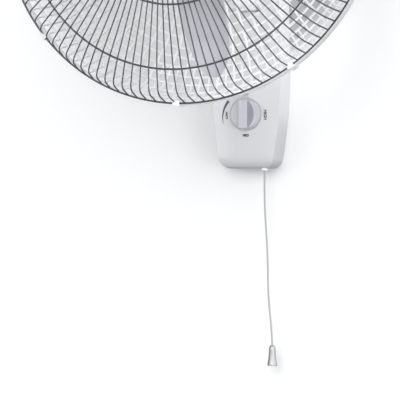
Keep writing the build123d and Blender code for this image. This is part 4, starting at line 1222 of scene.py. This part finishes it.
# %% [markdown]
# ## The centre cap
#
# A plain domed cap closes the middle of the wire guard, with a spigot behind it that sits in the hub ring. A
# squashed ball would have no crisp edge, so its outline is an arc, drawn point by point and turned. A
# shallow ring breaks the dome near its edge, as such caps often have, so that the light shows its curve.

# %% Cap
cap_low, cap_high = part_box("front_badge")
cap_middle = Vector((0, cap_high.y, axis_z))
cap_r = (cap_high.x - cap_low.x) / 2
spigot_r = 35.0 * mm
spigot_length = 6.0 * mm
spigot_wall = 2.0 * mm
cap_wall = 2.2 * mm
cap_back = cap_high.y - spigot_length
cap_edge = 2.0 * mm
cap_dome = cap_back - cap_low.y - cap_edge
dome_steps = 14
groove_from = 0.72
groove_to = 0.82
groove_depth = 0.5 * mm
cap_shape = [
    (spigot_r - spigot_wall, -spigot_length),
    (spigot_r, -spigot_length),
    (spigot_r, 0.0),
    (cap_r - 0.6 * mm, 0.0),
    (cap_r, 0.5 * mm),
]
for step in range(dome_steps + 1):
    share = 1 - step / dome_steps
    sunk = groove_depth if groove_from < share < groove_to else 0.0
    cap_shape.append((cap_r * share, cap_edge + cap_dome * (1 - share**2) - sunk))
cap_shape += [(0.0, cap_edge + cap_dome - cap_wall), (spigot_r - spigot_wall, 1.6 * mm)]
cap_outline = [Vector((radius, cap_back - height, axis_z)) for radius, height in cap_shape]
cap = lathe("centre_cap", cap_outline + cap_outline[:1], cap_middle, (0, 1, 0), 96)
soften(cap, angle=28)
dress(cap, cap_lavender, "badge_plastic", "head", "front_badge")
print("cap", len(cap.data.polygons), "faces, radius", round(cap_r, 4))

# %% [markdown]
# ## The blades
#
# A fan blade is a twisted, cambered sheet. A bent plane would twist evenly, which no real blade does. Its
# sections are drawn instead, as lines across the blade from the root to the rounded tip, and bridged into a
# sheet. Solidify gives it the thickness of the moulding and a subdivision surface rounds its edges. The
# inner end is cut to the hub, and the blade is repeated five times.

# %% Sections of one blade
hub_rear_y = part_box("fan_blade")[1].y
hub_front_y = hub_rear_y - 42.0 * mm
hub_r = 42.0 * mm
blade_count = 5
blade_start_r = 30.0 * mm
blade_tip_r = rim_r - 29.5 * mm
blade_wall = 2.0 * mm
blade_camber = 5.0 * mm
camber_chord = 80 * mm
blade_points = 7
# Share of the blade's length, then side and depth of the leading and of the trailing edge, in millimetres.
blade_sections = (
    (0.0, -20.0, 34.0, 19.0, 8.0),
    (0.12, -25.2, 36.6, 26.4, 5.0),
    (0.25, -29.0, 38.5, 33.0, 2.5),
    (0.46, -27.6, 40.5, 43.0, 0.5),
    (0.62, -21.0, 41.0, 50.0, 0.0),
    (0.81, -9.0, 38.0, 52.5, 1.0),
    (0.91, 2.0, 33.0, 48.0, 5.0),
    (0.97, 13.0, 26.0, 40.0, 10.0),
    (1.0, 21.0, 21.0, 33.0, 15.0),
)


def section_line(share, lead, lead_depth, trail, trail_depth):
    """Points across the blade at one radius, bowed to the rear."""
    radius = blade_start_r + share * (blade_tip_r - blade_start_r)
    start = Vector((lead * mm, lead_depth * mm))
    end = Vector((trail * mm, trail_depth * mm))
    chord = end - start
    rearward = Vector((-chord.y, chord.x)).normalized()
    bow = blade_camber * chord.length / camber_chord
    line = []
    for step in range(blade_points):
        part = step / (blade_points - 1)
        spot = start + chord * part + rearward * (4 * bow * part * (1 - part))
        line.append(Vector((spot.x, hub_front_y + spot.y, axis_z - radius)))
    return line


section_pieces = []
for number, section in enumerate(blade_sections):
    line = section_line(*section)
    piece = start_point(f"section_{number}", line[0])
    walk(line)
    bpy.ops.object.mode_set(mode="OBJECT")
    section_pieces.append(piece)
blade = join("one_blade", *section_pieces)
print("blade sections", len(section_pieces))

# %% Sheet, wall and five blades
bpy.ops.object.mode_set(mode="EDIT")
bpy.ops.mesh.select_all(action="SELECT")
bpy.ops.mesh.bridge_edge_loops()
face_outwards()
thick = blade.modifiers.new("wall", "SOLIDIFY")
thick.thickness = blade_wall
thick.offset = 0
bpy.ops.object.modifier_apply(modifier=thick.name)
smooth = blade.modifiers.new("smooth", "SUBSURF")
smooth.levels = 2
smooth.render_levels = 2
bpy.ops.object.modifier_apply(modifier=smooth.name)


def cut_round(piece, place, radius, depth, turn=(0, 0, 0), sides=40):
    """Cuts a round opening of a radius, centred on a place."""
    clear_selection()
    bpy.ops.mesh.primitive_cylinder_add(
        vertices=sides, radius=radius, depth=depth, location=place, rotation=turn
    )
    cutter = bpy.context.object
    bpy.ops.object.transform_apply(location=True, rotation=True, scale=True)
    cut_away(piece, cutter)


along_fan = (math.pi / 2, 0, 0)
hub_middle = (0, (hub_front_y + hub_rear_y) / 2, axis_z)
cut_round(blade, hub_middle, hub_r - 1.2 * mm, 80 * mm, along_fan, 96)
blades = repeat_round(blade, blade_count)
print("blades", len(blades.data.polygons), "faces")

# %% [markdown]
# ## The hub
#
# The five blades and the hub are one moulding. The hub is a shallow cup with a boss for the shaft inside it,
# so it is turned as one closed section and joined to the blades, whose inner ends are sunk in its wall. Like
# the rear guard, the blades leave their shade to the wall's patch.

# %% Hub
shaft_hole_r = 4.1 * mm
boss_r = 8.0 * mm
boss_sunk = 6.0 * mm
hub_wall = 2.5 * mm
hub_shape = (
    (shaft_hole_r, hub_front_y),
    (hub_r - 4 * mm, hub_front_y),
    (hub_r - 2 * mm, hub_front_y + 0.5 * mm),
    (hub_r - 0.5 * mm, hub_front_y + 2 * mm),
    (hub_r, hub_front_y + 4 * mm),
    (hub_r, hub_rear_y),
    (hub_r - hub_wall, hub_rear_y),
    (hub_r - hub_wall, hub_front_y + 4.5 * mm),
    (boss_r, hub_front_y + hub_wall),
    (boss_r, hub_rear_y - boss_sunk),
    (shaft_hole_r, hub_rear_y - boss_sunk),
)
hub_outline = [Vector((radius, y, axis_z)) for radius, y in hub_shape]
hub = lathe("hub", hub_outline + hub_outline[:1], axis_point, (0, 1, 0), 96)
smoked_blades = join("smoked_blades", blades, hub)
soften(smoked_blades, angle=40)
dress(smoked_blades, smoke, "smoke_blade", "rotor", "fan_blade")
smoked_blades.visible_shadow = False
print("blades and hub", len(smoked_blades.data.polygons), "faces")

# %% [markdown]
# ## The front shell
#
# The front of the control box is a shallow moulded lid, widest below its middle and narrower at the foot.
# Its side edges are crisp and its foot rolls under in a wide curve, which one bevel can't do. So the outline
# is walked point by point, filled and drawn forward; the foot is cut into strips by bisecting and rolled
# back, the edges are bevelled, and Solidify makes it a shell.

# %% Outline of the lid
seam_y = shell_high.y
lid_wall = 2.4 * mm
lid_top = shell_high.z
lid_bottom = shell_low.z
lid_half_top = 41.0 * mm
lid_half_waist = shell_high.x
lid_half_foot = 32.0 * mm
lid_waist_z = -62.0 * mm
lid_edge = 3.2 * mm
top_r = 22.0 * mm
foot_r = 13.0 * mm
side_steps = 12


def lid_half_width(height):
    """Half the width of the lid at a height: straight above the waist, an arc below it."""
    if height > lid_waist_z:
        share = (height - lid_waist_z) / (lid_top - lid_waist_z)
        return lid_half_waist + (lid_half_top - lid_half_waist) * share
    share = (lid_waist_z - height) / (lid_waist_z - lid_bottom)
    return lid_half_waist + (lid_half_foot - lid_half_waist) * share**2


def corner_arc(height, radius, start, end, steps=8):
    """Points of a rounded corner whose centre is at a height, as (side, height)."""
    middle = lid_half_width(height) - radius
    arc = []
    for step in range(steps + 1):
        turn = math.radians(start + (end - start) * step / steps)
        arc.append((middle + radius * math.cos(turn), height + radius * math.sin(turn)))
    return arc


side_top = lid_top - top_r
side_foot = lid_bottom + foot_r
right_side = corner_arc(side_top, top_r, 90, 0)
for step in range(1, side_steps):
    height = side_top - step / side_steps * (side_top - side_foot)
    right_side.append((lid_half_width(height), height))
right_side += corner_arc(side_foot, foot_r, 0, -90)
lid_loop = [Vector((side, seam_y, height)) for side, height in right_side]
lid_loop += [Vector((-side, seam_y, height)) for side, height in reversed(right_side)]
print("lid outline", len(lid_loop), "points")

# %% Lid with a rolled foot
foot_roll_z = lid_bottom + 15.0 * mm
foot_roll_depth = 10.0 * mm
foot_roll_power = 2.6
foot_strips = 10
lid = extrude_outline("lid", lid_loop, (0, shell_front - seam_y, 0))
for strip in range(foot_strips):
    bpy.ops.mesh.select_all(action="SELECT")
    height = foot_roll_z - (foot_roll_z - lid_bottom) * strip / foot_strips
    bpy.ops.mesh.bisect(plane_co=(0, 0, height), plane_no=(0, 0, 1))
bpy.ops.object.mode_set(mode="OBJECT")
for corner in lid.data.vertices:
    if corner.co.y < seam_y - 1 * mm and corner.co.z < foot_roll_z:
        share = (foot_roll_z - corner.co.z) / (foot_roll_z - lid_bottom)
        corner.co.y += foot_roll_depth * (1 - math.sqrt(max(0.0, 1 - share**foot_roll_power)))
bpy.ops.object.mode_set(mode="EDIT")
face_outwards()
print("lid rolled", len(lid.data.polygons), "faces")

# %% Open back and wall
bpy.ops.object.mode_set(mode="EDIT")
bpy.ops.mesh.select_all(action="DESELECT")
bpy.ops.object.mode_set(mode="OBJECT")
for face in lid.data.polygons:
    face.select = face.normal.y > 0.9
bpy.ops.object.mode_set(mode="EDIT")
bpy.ops.mesh.select_mode(type="FACE")
bpy.ops.mesh.delete(type="ONLY_FACE")
bpy.ops.mesh.select_mode(type="VERT")
bpy.ops.object.mode_set(mode="OBJECT")
soften(lid, lid_edge, 5, 50)
shell_wall = lid.modifiers.new("wall", "SOLIDIFY")
shell_wall.thickness = lid_wall
shell_wall.offset = -1
bpy.ops.object.modifier_apply(modifier=shell_wall.name)
print("lid wall", round(lid_wall, 4), "m")

# %% [markdown]
# ## Openings in the shell
#
# The neck arm comes out through a square opening at the top, the knob's spindle through the middle of the
# dial, and the cord through the foot. They are cut as the tool room would cut them, one cutter each, with a
# little play round the arm. A raised ring then frames the dial.

# %% Openings and dial ring
tilt_low, tilt_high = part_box("tilt_bolt")
arm_z = (tilt_low.z + tilt_high.z) / 2 - 3.0 * mm
arm_play = 0.8 * mm
arm_size = (30 * mm + 2 * arm_play, 16 * mm, 24 * mm + 2 * arm_play)
grommet_low, grommet_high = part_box("cord_grommet")
grommet_hole_r = (grommet_high.x - grommet_low.x) / 2 - 0.6 * mm
spindle_hole_r = 4.8 * mm
hole_depth = 12 * mm
cut_box(lid, (0, shell_front, arm_z), arm_size)
cut_round(lid, (0, shell_front, knob_z), spindle_hole_r, hole_depth, along_fan)
cut_round(lid, (cord_exit.x, cord_exit.y, lid_bottom), grommet_hole_r, hole_depth)

dial_ring = ring("dial_ring", 20.0 * mm, 0, 1.0 * mm, 96, 10)
dial_ring.data.transform(Matrix.Translation((0, shell_front - rim_y, knob_z - axis_z)))
front_lid = join("front_lid", lid, dial_ring)
soften(front_lid, angle=30)
dress(front_lid, shell_white, "white_plastic", "wall_body", "front_shell")
print("front shell", len(front_lid.data.polygons), "faces")
